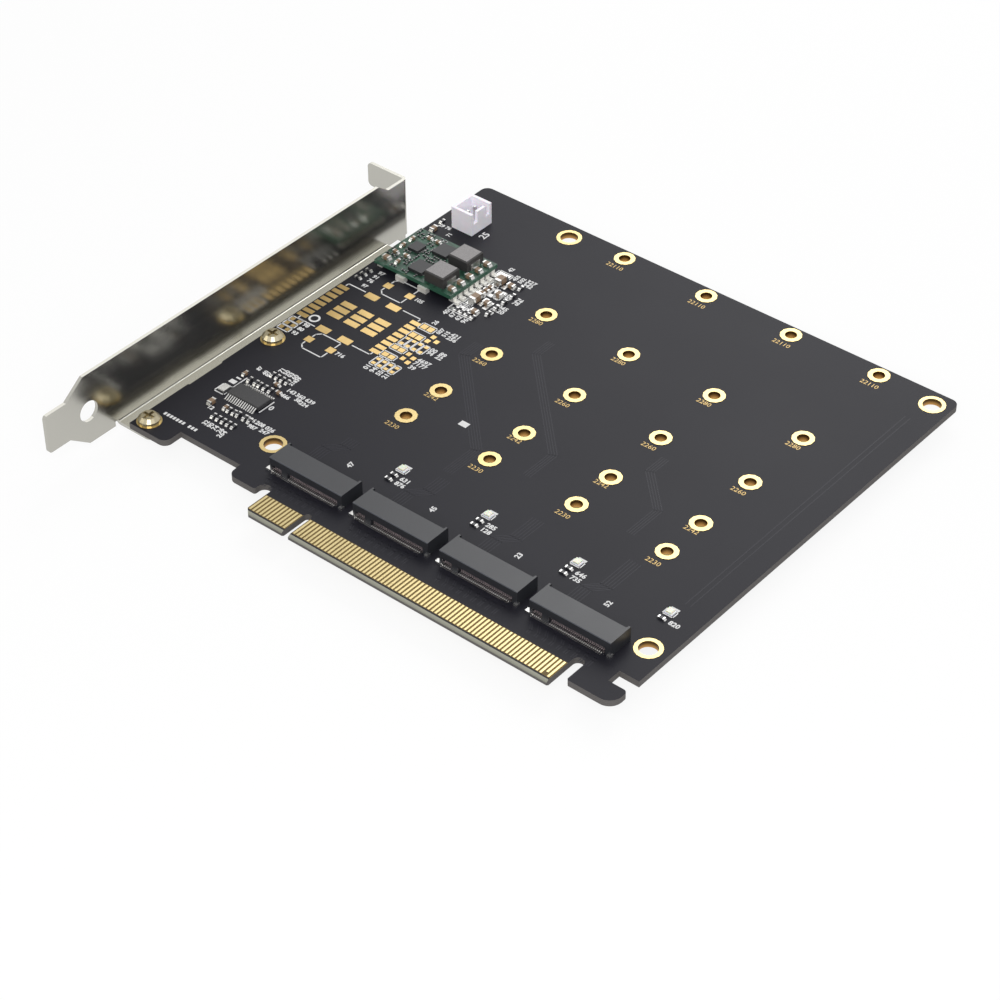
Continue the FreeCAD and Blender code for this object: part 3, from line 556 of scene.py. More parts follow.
def add_words(bm, words, middle_x, middle_y, height, thickness, base=FACE_Z, turn=0.0, weight=0.0):
    """Printed figures of a given height, centred on a point and thickened by weight."""
    curve = bpy.data.curves.new("figures", "FONT")
    curve.body = words
    curve.size = height / FIGURE_SHARE
    curve.align_x = "CENTER"
    curve.align_y = "CENTER"
    curve.extrude = thickness / 2
    curve.offset = weight
    curve.resolution_u = 2
    letters = bpy.data.objects.new("figures", curve)
    mesh = bpy.data.meshes.new_from_object(letters)
    mesh.transform(Matrix.Translation((middle_x, middle_y, base + thickness / 2))
                   @ Matrix.Rotation(turn, 4, "Z"))
    bm.from_mesh(mesh)
    bpy.data.meshes.remove(mesh)
    bpy.data.objects.remove(letters)
    bpy.data.curves.remove(curve)


def make_object(bm, name):
    """Turns a bmesh in metres into an object of the scene."""
    mesh = bpy.data.meshes.new(name)
    bm.to_mesh(mesh)
    bm.free()
    made = bpy.data.objects.new(name, mesh)
    bpy.context.scene.collection.objects.link(made)
    return made


def make_piece(bm, name, look, recalculate=False):
    """Turns a bmesh in millimetres into a piece of the card that rides on its body."""
    if recalculate:
        bmesh.ops.recalc_face_normals(bm, faces=bm.faces[:])
    bmesh.ops.scale(bm, vec=(MM, MM, MM), verts=bm.verts[:])
    piece = make_object(bm, name)
    for polygon in piece.data.polygons:
        polygon.use_smooth = False
    piece.data.materials.append(finish(look))
    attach(piece, BODY)


def solids_of(node):
    """Boxes of a CAD node's separate solids, in millimetres, as (low, high) pairs."""
    bm = bmesh.new()
    bm.from_mesh(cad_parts[node].data)
    bmesh.ops.remove_doubles(bm, verts=bm.verts[:], dist=0.000001)
    waiting = dict.fromkeys(bm.verts)
    boxes = []
    while waiting:
        shell = [waiting.popitem()[0]]
        for vert in shell:
            for edge in vert.link_edges:
                other = edge.other_vert(vert)
                if other in waiting:
                    del waiting[other]
                    shell.append(other)
        corners = [[pick(vert.co[axis] for vert in shell) / MM for axis in range(3)] for pick in (min, max)]
        boxes.append((Vector(corners[0]), Vector(corners[1])))
    bm.free()
    return boxes


def add_fillet(bm, low, high, axis, side, reach, rise):
    """Solder that runs from a part's end down to the pad, on its lower or upper side along an axis."""
    outer = (high if side > 0 else low)[axis]
    near, far = low.copy(), high.copy()
    near[1 - axis] += FILLET_INSET
    far[1 - axis] -= FILLET_INSET
    near[axis], far[axis] = outer, outer + side * reach
    far.z = low.z + rise
    toe = [vert for vert in add_block(bm, near, far)
           if abs(vert.co[axis] - outer) > reach / 2 and vert.co.z > low.z + rise / 2]
    bmesh.ops.translate(bm, vec=(0.0, 0.0, -rise * 0.85), verts=toe)


def solder_ends(bm, body_node, end_node):
    """A fillet at each end of the node's small parts."""
    middles = [(low + high) / 2 for low, high in solids_of(body_node)]
    for low, high in solids_of(end_node):
        middle = (low + high) / 2
        away = middle - min(middles, key=lambda place: (place - middle).length)
        axis = 1 if abs(away.y) > abs(away.x) else 0
        add_fillet(bm, low, high, axis, 1 if away[axis] > 0 else -1, 0.32, (high.z - low.z) * 0.7)


FIGURES = random.Random(5)
TAKEN = []


def label(bm, middle_x, middle_y, count, upright=False, height=None):
    """A small printed part number of count figures; upright ones read up the card."""
    words = "".join(FIGURES.choice("1234567890") for _ in range(count))
    add_words(bm, words, middle_x, middle_y, height or sizes().mark_height, sizes().ink_thickness,
              turn=math.pi / 2 if upright else 0.0, weight=0.06)


def note_taken():
    """Remembers where the main board's face is taken by the CAD's own small parts."""
    TAKEN.clear()
    for node in ("board_capacitor_ends", "board_capacitors", "chip_resistor_ends", "chip_resistors",
                 "clock_chip_body", "clock_chip_leads", "power_module_legs", "power_header_housing",
                 "status_led_bases"):
        TAKEN.extend(solids_of(node))


def is_free(low, high, taken, gap_x=0.15, gap_y=0.15):
    """Whether a box keeps its gaps to all the boxes that are taken."""
    return not any(other_low.x - gap_x < high.x and other_high.x + gap_x > low.x
                   and other_low.y - gap_y < high.y and other_high.y + gap_y > low.y
                   for other_low, other_high in taken)


def add_small_part(bodies, ends, middle_x, middle_y, along_x):
    """A chip resistor on the main board with tinned, soldered ends, where nothing stands already."""
    length, width, height = CHIP_RESISTOR
    half = length / 2
    inner = half - length * 0.22

    def corner(along, across, rise):
        step_x, step_y = (along, across) if along_x else (across, along)
        return Vector((middle_x + step_x, middle_y + step_y, FACE_Z + rise))

    room = corner(-half - 0.25, -width / 2, 0.0), corner(half + 0.25, width / 2, height)
    if not is_free(*room, TAKEN):
        return
    for side in (-1, 1):
        low, high = ordered(corner(side * half, -width / 2, 0.0), corner(side * inner, width / 2, height))
        add_block(ends, low, high)
        add_fillet(ends, low, high, 0 if along_x else 1, side, 0.3, height * 0.7)
    add_block(bodies, corner(-inner, 0.02 - width / 2, 0.0), corner(inner, width / 2 - 0.02, height - 0.03))
    TAKEN.append(room)


# ---- operators --------------------------------------------------------------------------------------

class CARD_OT_board(bpy.types.Operator):
    """Solder mask, laminate edges and bevel of the main board, with the copper runs under the mask."""

    bl_idname = "card.board"
    bl_label = "Board"

    def execute(self, context):
        dress(main_board="mask")
        bm = bmesh.new()
        for place in range(len(COLUMNS)):
            add_track_bundle(bm, place)
        add_long_tracks(bm)
        make_piece(bm, "masked_tracks", "track")
        return {"FINISHED"}


def add_track(bm, points):
    """One copper track under the mask."""
    add_path(bm, points, sizes().track_width, sizes().track_height)


def add_track_bundle(bm, place):
    """Paired tracks from the edge contacts up to one socket and on from its back edge."""
    column = COLUMNS[place]
    first_y, front_y = CONTACTS_HIGH.y + 2.0, SOCKETS[place][0].y - 1.2
    contact_step, socket_step, strand_gap = 1.95, 2.15, 0.55
    for pair in range(9):
        start_x = column - 8.0 + pair * contact_step + place * 0.35
        end_x = column - 8.6 + pair * socket_step
        knee = first_y + 1.0 + pair * 0.12
        for strand in (0.0, strand_gap):
            add_track(bm, [(start_x + strand, first_y), (start_x + strand, knee),
                           (end_x + strand, knee + abs(end_x - start_x) + 0.8), (end_x + strand, front_y)])
    back_y = SOCKETS[place][1].y + 0.8
    top_y = back_y + 12.0 + 2.3 * place
    slant, back_step = 3.0, 0.75
    for strand in range(5):
        x = column - 7.5 + strand * back_step
        add_track(bm, [(x, back_y), (x, back_y + 6.0), (x + slant, back_y + 6.0 + slant), (x + slant, top_y)])


def add_lane(bm, points, strands, gap):
    """Parallel tracks through the same corners; each strand keeps its distance on every leg."""
    for strand in range(strands):
        lane = []
        for index, point in enumerate(points):
            place = Vector(point)
            legs = []
            if index:
                legs.append((place - Vector(points[index - 1])).normalized())
            if index < len(points) - 1:
                legs.append((Vector(points[index + 1]) - place).normalized())
            sides = [Vector((-leg.y, leg.x)) for leg in legs]
            middle = sum(sides, Vector((0.0, 0.0))).normalized()
            lane.append(tuple(place + middle * strand * gap / middle.dot(sides[0])))
        add_track(bm, lane)


def add_long_tracks(bm):
    """Long lanes that slant down between the rows of nuts, and two tracks along the right edge."""
    back = SOCKETS[0][1].y
    # each lane's top and foot: its column, x from there and height above the sockets; then its tracks
    for top, foot, strands in (((0, -6.0, 52.0), (1, -5.5, 17.5), 5), ((0, 7.0, 63.0), (1, 9.0, 27.5), 4),
                               ((2, 4.4, 45.5), (3, -10.6, 26.5), 4)):
        (top_x, top_y), (foot_x, foot_y) = ((COLUMNS[column] + x, back + y) for column, x, y in (top, foot))
        knee_y = top_y - foot_x + top_x
        add_lane(bm, [(top_x, top_y + 6.0), (top_x, top_y), (foot_x, knee_y), (foot_x, foot_y)], strands, 0.6)
    edge_x = BOARD_HIGH.x - 5.6
    add_lane(bm, [(edge_x, back + 16.0), (edge_x, BOARD_HIGH.y - 12.0)], 2, 1.3)


class CARD_OT_gold(bpy.types.Operator):
    """Gold plate on the edge contacts, and plated rings of the holes and nuts."""

    bl_idname = "card.gold"
    bl_label = "Gold contacts and rings"

    def execute(self, context):
        dress(edge_contacts_front="contact", edge_contacts_back="contact",
              corner_hole_plating="ring", module_nuts="ring")
        return {"FINISHED"}


class CARD_OT_bracket(bpy.types.Operator):
    """Stainless bracket, its two plated screws and the bare lands under them."""

    bl_idname = "card.bracket"
    bl_label = "Bracket and screws"

    def execute(self, context):
        dress(bracket="steel", bracket_screws="screw")
        bm = bmesh.new()
        head = (SCREWS_HIGH.x - SCREWS_LOW.x) / 2
        middle_x = (SCREWS_HIGH.x + SCREWS_LOW.x) / 2
        for middle_y in (SCREWS_LOW.y + head, SCREWS_HIGH.y - head):
            add_ring(bm, middle_x, middle_y, sizes().screw_land / 2, head - 0.6, sizes().pad_thickness, 48)
        make_piece(bm, "screw_lands", "ring", recalculate=True)
        return {"FINISHED"}


class CARD_OT_sockets(bpy.types.Operator):
    """Moulded sockets, their leads, solder tabs and the contact springs inside their mouths."""

    bl_idname = "card.sockets"
    bl_label = "Sockets"

    def execute(self, context):
        springs, pads, risers = bmesh.new(), bmesh.new(), bmesh.new()
        for number, (_, high) in enumerate(SOCKETS, 1):
            leads = "socket_%d_leads" % number
            dress(**{"socket_%d_housing" % number: "socket", leads: "tin"})
            lead_low, lead_high = box_mm(leads)
            key_x = lead_high.x - KEY_FROM_LAST_LEAD
            for lead in range(LEAD_COUNT):
                x = lead_low.x + 0.36 + lead * LEAD_PITCH
                add_flat(pads, x - 0.25, lead_low.y - 0.2, 0.28, 0.9, 0.04)
                add_block(risers, (x - 0.36, lead_high.y - 0.35, lead_high.z),
                          (x - 0.14, lead_high.y - 0.12, lead_high.z + 1.1))
                if abs(x - key_x) >= KEY_HALF_WIDTH:
                    add_spring(springs, x, high.y)
        dress(socket_holddowns="tin")
        make_piece(springs, "socket_springs", "gold")
        make_piece(risers, "socket_lead_risers", "rose_tin")
        make_piece(pads, "socket_lead_solder", "tin")
        return {"FINISHED"}


def add_spring(bm, middle_x, mouth_y):
    """One bowed contact spring in the lower half of a socket's mouth."""
    low_z = FACE_Z + 1.95
    verts = add_block(bm, (middle_x - 0.09, mouth_y - 2.6, low_z),
                      (middle_x + 0.09, mouth_y - 0.55, low_z + 0.1))
    near = [vert for vert in verts if vert.co.y > mouth_y - 1.0]
    bmesh.ops.translate(bm, vec=(0.0, 0.0, -0.12), verts=near)


class CARD_OT_header(bpy.types.Operator):
    """White power header and its posts."""

    bl_idname = "card.header"
    bl_label = "Power header"

    def execute(self, context):
        dress(power_header_housing="nylon", power_header_pins="tin")
        return {"FINISHED"}


class CARD_OT_power_module(bpy.types.Operator):
    """Green power module with its inductors, chips, soldered parts and small marks."""

    bl_idname = "card.power_module"
    bl_label = "Power module"

    def execute(self, context):
        dress(power_module_board="green", power_module_legs="solder", power_inductor_low="ferrite",
              power_inductor_high="ferrite", power_inductor_terminals="tin", power_stage_chips="package",
              power_controller_chip="package", power_module_capacitors="ceramic",
              power_module_capacitor_ends="tin")
        solder, tiny, tiny_ends, ink = (bmesh.new() for _ in range(4))
        solder_ends(solder, "power_module_capacitors", "power_module_capacitor_ends")
        for low, high in solids_of("power_stage_chips") + solids_of("power_controller_chip"):
            add_chip_pins(solder, low, high)
        add_module_crumbs(tiny, tiny_ends)
        make_piece(tiny_ends, "power_module_tiny_ends", "dull_tin")
        make_piece(tiny, "power_module_tiny_parts", "glaze")
        make_piece(solder, "power_module_solder", "tin")
        for middle_x, middle_y, count in ((POWER_LOW.x + 8.2, POWER_HIGH.y - 0.9, 3),
                                          (POWER_LOW.x + 3.6, POWER_LOW.y + 8.6, 2),
                                          (POWER_MID.x + 4.5, POWER_LOW.y + 8.6, 2)):
            words = "".join(FIGURES.choice("123456789") for _ in range(count))
            add_words(ink, words, middle_x, middle_y, 0.8, sizes().ink_thickness, POWER_HIGH.z, weight=0.02)
        make_piece(ink, "power_module_figures", "ink")
        return {"FINISHED"}


def add_module_crumbs(bodies, ends):
    """The smallest chip parts, packed between the larger ones over the module in loose rows."""
    taken = []
    for node in ("power_stage_chips", "power_controller_chip", "power_module_capacitor_ends",
                 "power_module_capacitors", "power_inductor_low", "power_inductor_high"):
        taken += solids_of(node)
    top = POWER_HIGH.z
    for row in range(15):
        for column in range(11):
            x = POWER_LOW.x + 0.9 + column * 1.28 + FIGURES.uniform(-0.15, 0.15)
            y = POWER_LOW.y + 0.9 + row * 1.1 + FIGURES.uniform(-0.12, 0.12)
            along_x = FIGURES.random() < 0.5
            half_x, half_y = (0.5, 0.25) if along_x else (0.25, 0.5)
            room = Vector((x - half_x, y - half_y)), Vector((x + half_x, y + half_y))
            if FIGURES.random() < 0.22 or not is_free(*room, taken, 0.35, 0.25):
                continue
            add_flat(bodies, x, y, half_x * 1.24, half_y * 1.24, 0.33, top)
            for side in (-0.405, 0.405):
                step_x, step_y, size_x, size_y = (side, 0.0, 0.19, 0.5) if along_x else (0.0, side, 0.5, 0.19)
                add_flat(ends, x + step_x, y + step_y, size_x, size_y, 0.30, top)


def add_chip_pins(bm, low, high, pitch=0.65, size=0.28):
    """Short tinned pins along a flat package's two long sides."""
    count = int((high.y - low.y - 0.6) / pitch) + 1
    start = (low.y + high.y) / 2 - (count - 1) * pitch / 2
    for pin in range(count):
        y = start + pin * pitch
        for side, edge in ((-1, low.x), (1, high.x)):
            add_block(bm, (edge, y - size / 2, low.z), (edge + side * 0.3, y + size / 2, low.z + 0.12))


class CARD_OT_small_parts(bpy.types.Operator):
    """Clock chip, capacitors, resistors and status lights, with their pads and solder."""

    bl_idname = "card.small_parts"
    bl_label = "Small parts"

    def execute(self, context):
        dress(clock_chip_body="package", clock_chip_leads="tin", board_capacitors="ceramic",
              board_capacitor_ends="tin", chip_resistors="glaze", chip_resistor_ends="tin",
              status_led_bases="nylon", status_led_lenses="lens")
        note_taken()
        solder, bodies = bmesh.new(), bmesh.new()
        solder_ends(solder, "board_capacitors", "board_capacitor_ends")
        solder_ends(solder, "chip_resistors", "chip_resistor_ends")
        for low, high in solids_of("clock_chip_leads"):
            outward = 1 if low.y > CHIP_MID.y else -1
            toe = high.y if outward > 0 else low.y
            add_block(solder, (low.x - 0.02, toe - outward * 0.5, FACE_Z),
                      (high.x + 0.02, toe + outward * 0.45, FACE_Z + 0.05))
        for place in clock_part_places() + regulator_part_places() + light_part_places():
            add_small_part(bodies, solder, *place)
        add_crystal(solder, bodies)
        make_piece(bodies, "small_part_bodies", "glaze")
        make_piece(solder, "small_part_solder", "tin")
        return {"FINISHED"}


def add_crystal(metal, body):
    """Small clock crystal beside the chip: a metal lid on a dark base."""
    left, low = CHIP_LOW.x - 3.1, CHIP_MID.y - 2.4
    add_block(body, (left, low, FACE_Z), (left + 2.2, low + 2.7, FACE_Z + 0.35))
    add_block(metal, (left + 0.15, low + 0.15, FACE_Z + 0.35), (left + 2.05, low + 2.55, FACE_Z + 0.6))


def clock_part_places():
    """Rows of chip resistors above and below the clock chip: (x, y, along x)."""
    above, below = CHIP_HIGH.y + 2.9, CHIP_LOW.y - 3.85
    places = [(CHIP_MID.x - 6.4 + step * 1.65, above, False) for step in range(7)]
    places += [(CHIP_MID.x - 1.9 + step * 1.55, CHIP_HIGH.y + 7.6, False) for step in range(4)]
    places += [(CHIP_MID.x - 2.0 + step * 1.6, below, False) for step in range(6)]
    places += [(CHIP_MID.x - 1.6 + step * 1.55, CHIP_LOW.y - 7.6, False) for step in range(5)]
    return places


def regulator_part_places():
    """Chip parts beside the fitted power module, to the right of its legs: (x, y, along x)."""
    right, low = POWER_HIGH.x + 2.4, POWER_LOW.y
    places = [(right + step * 1.75, low + rise, False) for rise in (-0.9, 8.4) for step in range(4)]
    places += [(right + across, low + rise, False) for across, rise in ((4.9, 16.2), (6.4, 15.4), (3.3, 5.4))]
    places.append((BOARD_LOW.x + 1.9, HEADER_LOW.y + 0.2, False))
    places += [(BOARD_LOW.x + 1.9, POWER_LOW.y - 2.0 - step * 1.95, True) for step in range(3)]
    return places


def light_part_places():
    """One or two resistors in front of each status light: (x, y, along x)."""
    places = []
    for place, column in enumerate(COLUMNS):
        for row in range(1 if place == 3 else 2):
            places.append((light_x(column) - 0.3, LIGHTS_LOW.y - 1.85 - row * 1.85, True))
    return places


def light_x(column):
    """Middle of the status light that stands in front of a column of nuts."""
    return (LIGHTS_LOW.x + LIGHTS_HIGH.x - 3 * PITCH) / 2 + column - COLUMNS[0]


class CARD_OT_spare_place(bpy.types.Operator):
    """Bare pads and white outline of the second, unfitted power module."""

    bl_idname = "card.spare_place"
    bl_label = "Unfitted module place"

    def execute(self, context):
        pads, ink, tinned = bmesh.new(), bmesh.new(), bmesh.new()
        middle_x = POWER_MID.x + sizes().spare_shift
        middle_y = POWER_MID.y - sizes().spare_drop
        add_spare_pads(pads, ink, middle_x, middle_y)
        add_spare_outline(ink, middle_x, middle_y)
        add_side_places(pads, ink, middle_y)
        add_regulator_marks(ink, pads, middle_x, middle_y)
        add_regulator_marks(ink, tinned, middle_x, middle_y + sizes().print_repeat)
        make_piece(pads, "spare_place_pads", "gold")
        make_piece(tinned, "regulator_pads", "tin")
        make_piece(ink, "power_place_print", "ink", recalculate=True)
        return {"FINISHED"}


def add_spare_pads(pads, ink, middle_x, middle_y):
    """Pads for the module's legs and underside, and for a can capacitor above and below it."""
    thick = sizes().pad_thickness
    for side, size in ((-11.35, 3.0), (11.45, 2.7)):
        for row in range(8):
            add_flat(pads, middle_x + side, middle_y + (row - 3.5) * 2.02, size, 1.35, thick)
    for column in (-1, 0, 1):
        for row in (-1, 0, 1):
            add_flat(pads, middle_x + column * 5.4, middle_y + row * 2.45, 4.0, 1.8, thick)
    for end in (-1, 1):
        loop_y = middle_y + 0.55 + end * 13.9
        for side in (-1, 1):
            pad_x = middle_x - 0.1 + side * 3.4
            add_flat(pads, pad_x, middle_y + 0.1 + end * 8.5, 3.6, 2.1, thick)
            add_flat(pads, pad_x, loop_y, 2.1, 2.0, thick)
        add_loop(ink, middle_x - 0.1, loop_y)
        label(ink, middle_x + 6.2, loop_y - 0.05, 3, height=1.2)


def add_spare_outline(ink, middle_x, middle_y):
    """Corner marks of the unfitted module, the ring in its lower left corner and its figures."""
    for end, y in ((1, middle_y + 9.1), (-1, middle_y - 8.8)):
        for corner, inner in ((-11.4, -6.1), (11.4, 6.0)):
            add_line(ink, [(middle_x + corner, y - end * 0.9), (middle_x + corner, y), (middle_x + inner, y)])
    add_ring(ink, middle_x - 8.15, middle_y - 6.5, 1.45, 0.95, sizes().ink_thickness)
    label(ink, middle_x - 7.9, middle_y + 10.8, 2, height=1.1)


def add_side_places(pads, ink, middle_y):
    """Three unfitted chip parts at the board's left edge, and the figures of the fitted ones above."""
    x = BOARD_LOW.x + 2.1
    for row in range(3):
        drop = row * 1.95
        y = middle_y - 9.8 - drop
        for side in (-0.95, 0.95):
            add_flat(pads, x + side, y, 1.1, 1.1, sizes().pad_thickness)
        add_frame(ink, x, y, 3.5, 1.75)
        label(ink, BOARD_LOW.x + 5.4, y, 2)
        label(ink, BOARD_LOW.x + 5.0, POWER_LOW.y - 1.0 - drop, 2)


def add_loop(bm, middle_x, middle_y):
    """White outline of a can capacitor: two cut corners on its left side, open where its pads lie."""
    half, cut, gap = 3.5, 1.1, 1.4
    left, right = middle_x - half, middle_x + half
    for end in (-1, 1):
        gap_y, cut_y, end_y = (middle_y + end * reach for reach in (gap, half - cut, half))
        add_line(bm, [(left, gap_y), (left, cut_y), (left + cut, end_y), (right, end_y), (right, gap_y)])


def add_regulator_marks(ink, pads, middle_x, middle_y):
    """Pads and figures to the right of a power module's place, the same beside both places."""
    thick = sizes().pad_thickness
    left = middle_x + 15.0
    for rise, tall in ((7.4, 1.7), (3.3, 1.7), (-2.9, 1.4), (-6.4, 1.4)):
        for side in (-0.95, 0.95):
            add_flat(pads, left + side, middle_y + rise, 1.6, tall, thick)
        add_frame(ink, left, middle_y + rise, 4.3, tall + 0.7)
    for step in range(4):
        x = left - 0.9 + step * 1.9
        for rise in (1.5, -0.8, -8.8, -10.6):
            add_flat(pads, x, middle_y + rise, 1.05, 0.9, thick)
        for rise in (0.35, -9.7):
            add_frame(ink, x, middle_y + rise, 1.62, 3.5)
        label(ink, x, middle_y - 12.7, 2, upright=True, height=1.3)
    for x, rise in ((3.4, 5.6), (3.3, 3.6), (3.3, -3.0), (3.3, -5.1), (5.2, 4.6), (5.2, -3.6), (5.2, -5.6)):
        add_flat(pads, left + x, middle_y + rise, 1.2, 1.3, thick)
    for x, rise, count, height in ((0.0, 10.3, 2, 1.2), (3.2, 8.4, 3, 1.1), (4.9, 8.4, 3, 1.1)):
        label(ink, left + x, middle_y + rise, count, upright=True, height=height)
    for x, rise, count in ((7.2, 9.1, 3), (7.2, 7.6, 3), (6.9, 1.6, 2), (6.9, 0.3, 2), (9.6, 1.7, 2),
                           (9.6, 0.3, 2), (8.1, -3.2, 4), (8.1, -4.7, 4), (7.3, -6.5, 2)):
        label(ink, left + x, middle_y + rise, count, height=1.3)


class CARD_OT_figures(bpy.types.Operator):
    """Drive length numbers beside the nuts, and the small white figures beside the parts."""

    bl_idname = "card.figures"
    bl_label = "Printed figures"

    def execute(self, context):
        numbers, ink = bmesh.new(), bmesh.new()
        for x in COLUMNS:
            for drive, drop in zip(DRIVE_LENGTHS, NUMBER_DROPS):
                add_words(numbers, "22%d" % drive, x - 0.3 + 0.4 * (drive > 100), DATUM_Y + drive - drop,
                          sizes().number_height, sizes().ink_thickness)
        make_piece(numbers, "drive_length_numbers", "gold_print")
        add_clock_marks(ink)
        add_light_marks(ink)
        add_header_marks(ink)
        for place, column in enumerate(COLUMNS):
            label(ink, column + 2.2 - place * 0.5, SOCKETS[0][1].y + 5.8, 2, upright=True, height=1.3)
        make_piece(ink, "small_figures", "ink", recalculate=True)
        return {"FINISHED"}


def add_clock_marks(ink):
    """Outline and figures round the clock chip."""
    thick = sizes().ink_thickness
    x, y = CHIP_MID.x, CHIP_MID.y
    for side_x, top in ((CHIP_LOW.x - 0.95, 5.2), (CHIP_HIGH.x + 0.4, 2.5)):
        add_line(ink, [(side_x, y - 2.2), (side_x, y + top)])
    for step in range(4):
        label(ink, x - 1.5 + step * 1.35, y + 12.5, 2, upright=True, height=1.2)
        label(ink, x - 1.4 + step * 1.5, y - 12.6, 2, upright=True, height=1.2)
    for across, rise, count, height in ((3.7, 11.3, 5, 1.0), (4.3, -13.3, 3, 1.2), (-6.0, 9.7, 2, 1.0),
                                        (-3.9, 9.4, 2, 1.1), (-2.9, 9.4, 2, 1.1)):
        label(ink, x + across, y + rise, count, upright=True, height=height)
    for across in (5.6, 8.4, 11.4):
        label(ink, x + across, y + 7.9, 3, height=1.2)
        label(ink, x + across, y - 5.3, 3, height=1.2)
    for across, rise, count in ((11.0, 6.2, 3), (5.8, 5.7, 3), (8.9, 6.5, 2), (11.0, -6.8, 3),
                                (7.7, -7.2, 3), (-4.5, -7.9, 2)):
        label(ink, x + across, y + rise, count, height=1.15)
    label(ink, x + 6.3, y + 0.5, 1, height=1.5)
    add_flat(ink, x - 7.4, y + 2.3, 1.8, 1.3, thick)
    add_flat(ink, x - 7.2, y + 4.0, 1.4, 0.5, thick)
    add_frame(ink, x - 7.05, y - 1.05, 2.9, 3.3, 1.6)
    for step in range(11):
        if step != 7:
            add_flat(ink, BOARD_LOW.x + 3.8 + step * 0.95, y - 15.95, 0.62, 0.95, thick)


def add_light_marks(ink):
    """Outline and figures beside each status light."""
    thick = sizes().ink_thickness
    y = (LIGHTS_LOW.y + LIGHTS_HIGH.y) / 2
    for place, column in enumerate(COLUMNS):
        x = light_x(column)
        add_frame(ink, x, y, 2.7, 2.0, 1.4)
        add_flat(ink, x + 0.2, y + 1.5, 2.2, 0.6, thick)
        for row in range(1 if place == 3 else 2):
            label(ink, x + 2.9, y - 2.55 - row * 1.8, 3, height=1.25)
    add_flat(ink, light_x(COLUMNS[0]) - 0.2, LIGHTS_HIGH.y + 20.2, 2.3, 1.7, thick)


def add_header_marks(ink):
    """Figures beside the power header."""
    label(ink, HEADER_HIGH.x + 2.3, HEADER_LOW.y + 2.2, 2, upright=True, height=1.9)
    label(ink, HEADER_LOW.x - 0.3, HEADER_LOW.y - 1.0, 2, height=1.1)
    label(ink, HEADER_LOW.x - 2.3, HEADER_LOW.y - 1.1, 2, height=1.1)
    label(ink, HEADER_LOW.x + 1.8, HEADER_LOW.y - 3.0, 2, upright=True, height=1.1)


class CARD_OT_stage(bpy.types.Operator):
    """Floor, world, panels and camera."""

    bl_idname = "card.stage"
    bl_label = "Studio and camera"

    def execute(self, context):
        settings = context.scene.card_stage
        context.scene.view_settings.view_transform = "Standard"
        make_floor()
        make_world(settings.world_level)
        make_panels(settings.key_watts)
        make_camera(settings.lens)
        return {"FINISHED"}


def plainly_seen(nodes):
    """1 for rays from the camera, off a mirror or through glass, and 0 for the others."""
    path = nodes.node("LightPath", {}).outputs
    indirect = nodes.math("ADD", path["Is Glossy Ray"], path["Is Transmission Ray"])
    return nodes.math("ADD", path["Is Camera Ray"], indirect, clamp=True)


def make_floor():
    """Pale floor under the card's lowest point; it looks white and keeps a soft shadow."""
    half, gap, paper_tone, glow_share = 3.0, 0.0001, 0.86, 0.88
    bm = bmesh.new()
    bmesh.ops.create_grid(bm, x_segments=1, y_segments=1, size=half)
    bmesh.ops.translate(bm, vec=(0.0, 0.0, CAD_BOX[0].z - gap), verts=bm.verts[:])
    floor = make_object(bm, "floor")
    material = bpy.data.materials.new("floor_paper")
    material.use_nodes = True
    material.node_tree.nodes.clear()
    nodes = Nodes(material.node_tree)
    paper = nodes.node("BsdfDiffuse", {"Color": (paper_tone,) * 3}).outputs[0]
    glow = nodes.node("Emission", {"Color": (1.0, 1.0, 1.0)}).outputs[0]
    share = nodes.math("MULTIPLY", plainly_seen(nodes), glow_share)
    mixed = nodes.node("MixShader", {0: share, 1: paper, 2: glow}).outputs[0]
    nodes.node("OutputMaterial", {"Surface": mixed})
    floor.data.materials.append(material)


def make_world(level):
    """Even white light; the camera and shiny surfaces see it as plain white."""
    world = bpy.data.worlds.new("studio")
    bpy.context.scene.world = world
    world.use_nodes = True
    nodes = Nodes(world.node_tree)
    strength = nodes.node("MapRange", {"Value": plainly_seen(nodes), "To Min": level, "To Max": 1.0})
    background = world.node_tree.nodes["Background"].inputs
    nodes.feed(background["Strength"], strength.outputs[0])
    nodes.feed(background["Color"], (1.0, 1.0, 1.0))


def make_panels(watts):
    """A large soft panel high behind the card's left, and a stronger one in front."""
    target = (CAD_BOX[0] + CAD_BOX[1]) / 2
    # name, place from the card's middle, size, power in shares of the key light's
    for name, offset, size, share in (("key_panel", (-0.15, 0.50, 0.45), 0.45, 1.0),
                                      ("front_panel", (0.35, -0.45, 0.45), 0.40, 1.8)):
        light = bpy.data.lights.new(name, "AREA")
        light.energy = watts * share
        light.size = size
        lamp = bpy.data.objects.new(name, light)
        lamp.location = target + Vector(offset)
        lamp.rotation_euler = (-Vector(offset)).to_track_quat("-Z", "Y").to_euler()
        bpy.context.scene.collection.objects.link(lamp)


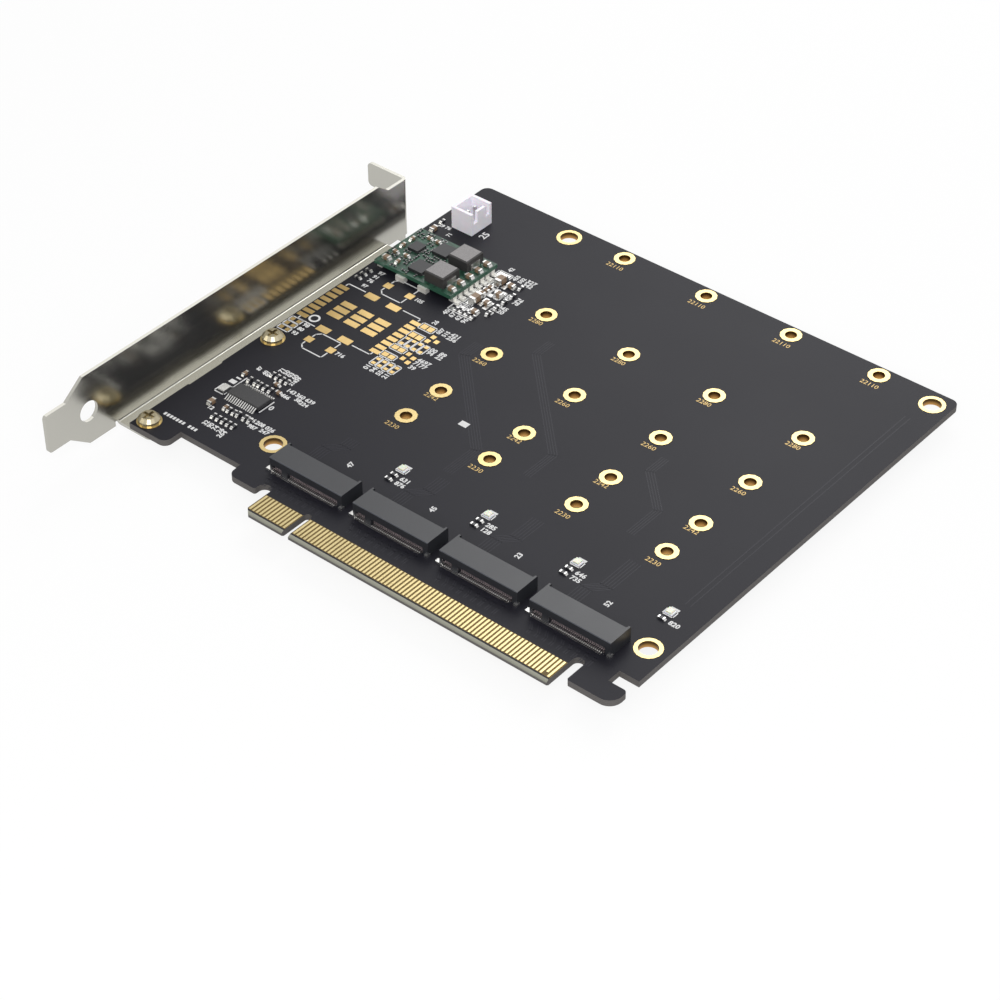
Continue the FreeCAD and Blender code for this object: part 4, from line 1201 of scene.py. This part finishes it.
def make_camera(lens):
    """The camera looks down on the component side from beyond the connector's far end."""
    place = Vector((0.32955, -0.31981, 0.38820))
    aim = Vector((0.0283255, 0.0379448, 0.0008))
    roll = Matrix.Rotation(math.radians(-0.388), 4, "Z")
    data = bpy.data.cameras.new("camera")
    data.lens = lens
    data.sensor_width = 36.0
    data.clip_start = 0.01
    data.clip_end = 20.0
    camera = bpy.data.objects.new("camera", data)
    look = (aim - place).to_track_quat("-Z", "Y")
    camera.matrix_world = Matrix.Translation(place) @ look.to_matrix().to_4x4() @ roll
    bpy.context.scene.collection.objects.link(camera)
    bpy.context.scene.camera = camera


PIECE_STEPS = (CARD_OT_board, CARD_OT_gold, CARD_OT_bracket, CARD_OT_sockets, CARD_OT_header,
               CARD_OT_power_module, CARD_OT_small_parts, CARD_OT_spare_place, CARD_OT_figures, CARD_OT_stage)


class CARD_PT_panel(bpy.types.Panel):
    """Sidebar panel with the card's steps, colours and sizes."""

    bl_idname = "CARD_PT_panel"
    bl_label = "Drive adapter card"
    bl_space_type = "VIEW_3D"
    bl_region_type = "UI"
    bl_category = "Card"

    def draw(self, context):
        layout = self.layout
        for step in PIECE_STEPS:
            layout.operator(step.bl_idname)
        for group in (context.scene.card_colours, context.scene.card_sizes, context.scene.card_stage):
            box = layout.box()
            for name in group.__annotations__:
                box.prop(group, name)


GROUPS = (CardColours, CardSizes, StageSettings)


def register():
    for kind in GROUPS + PIECE_STEPS + (CARD_PT_panel,):
        bpy.utils.register_class(kind)
    bpy.types.Scene.card_colours = bpy.props.PointerProperty(type=CardColours)
    bpy.types.Scene.card_sizes = bpy.props.PointerProperty(type=CardSizes)
    bpy.types.Scene.card_stage = bpy.props.PointerProperty(type=StageSettings)


def unregister():
    del bpy.types.Scene.card_stage
    del bpy.types.Scene.card_sizes
    del bpy.types.Scene.card_colours
    for kind in reversed(GROUPS + PIECE_STEPS + (CARD_PT_panel,)):
        bpy.utils.unregister_class(kind)


def main():
    register()
    for step in PIECE_STEPS:
        family, action = step.bl_idname.split(".")
        getattr(getattr(bpy.ops, family), action)()


if __name__ == "__main__":
    main()
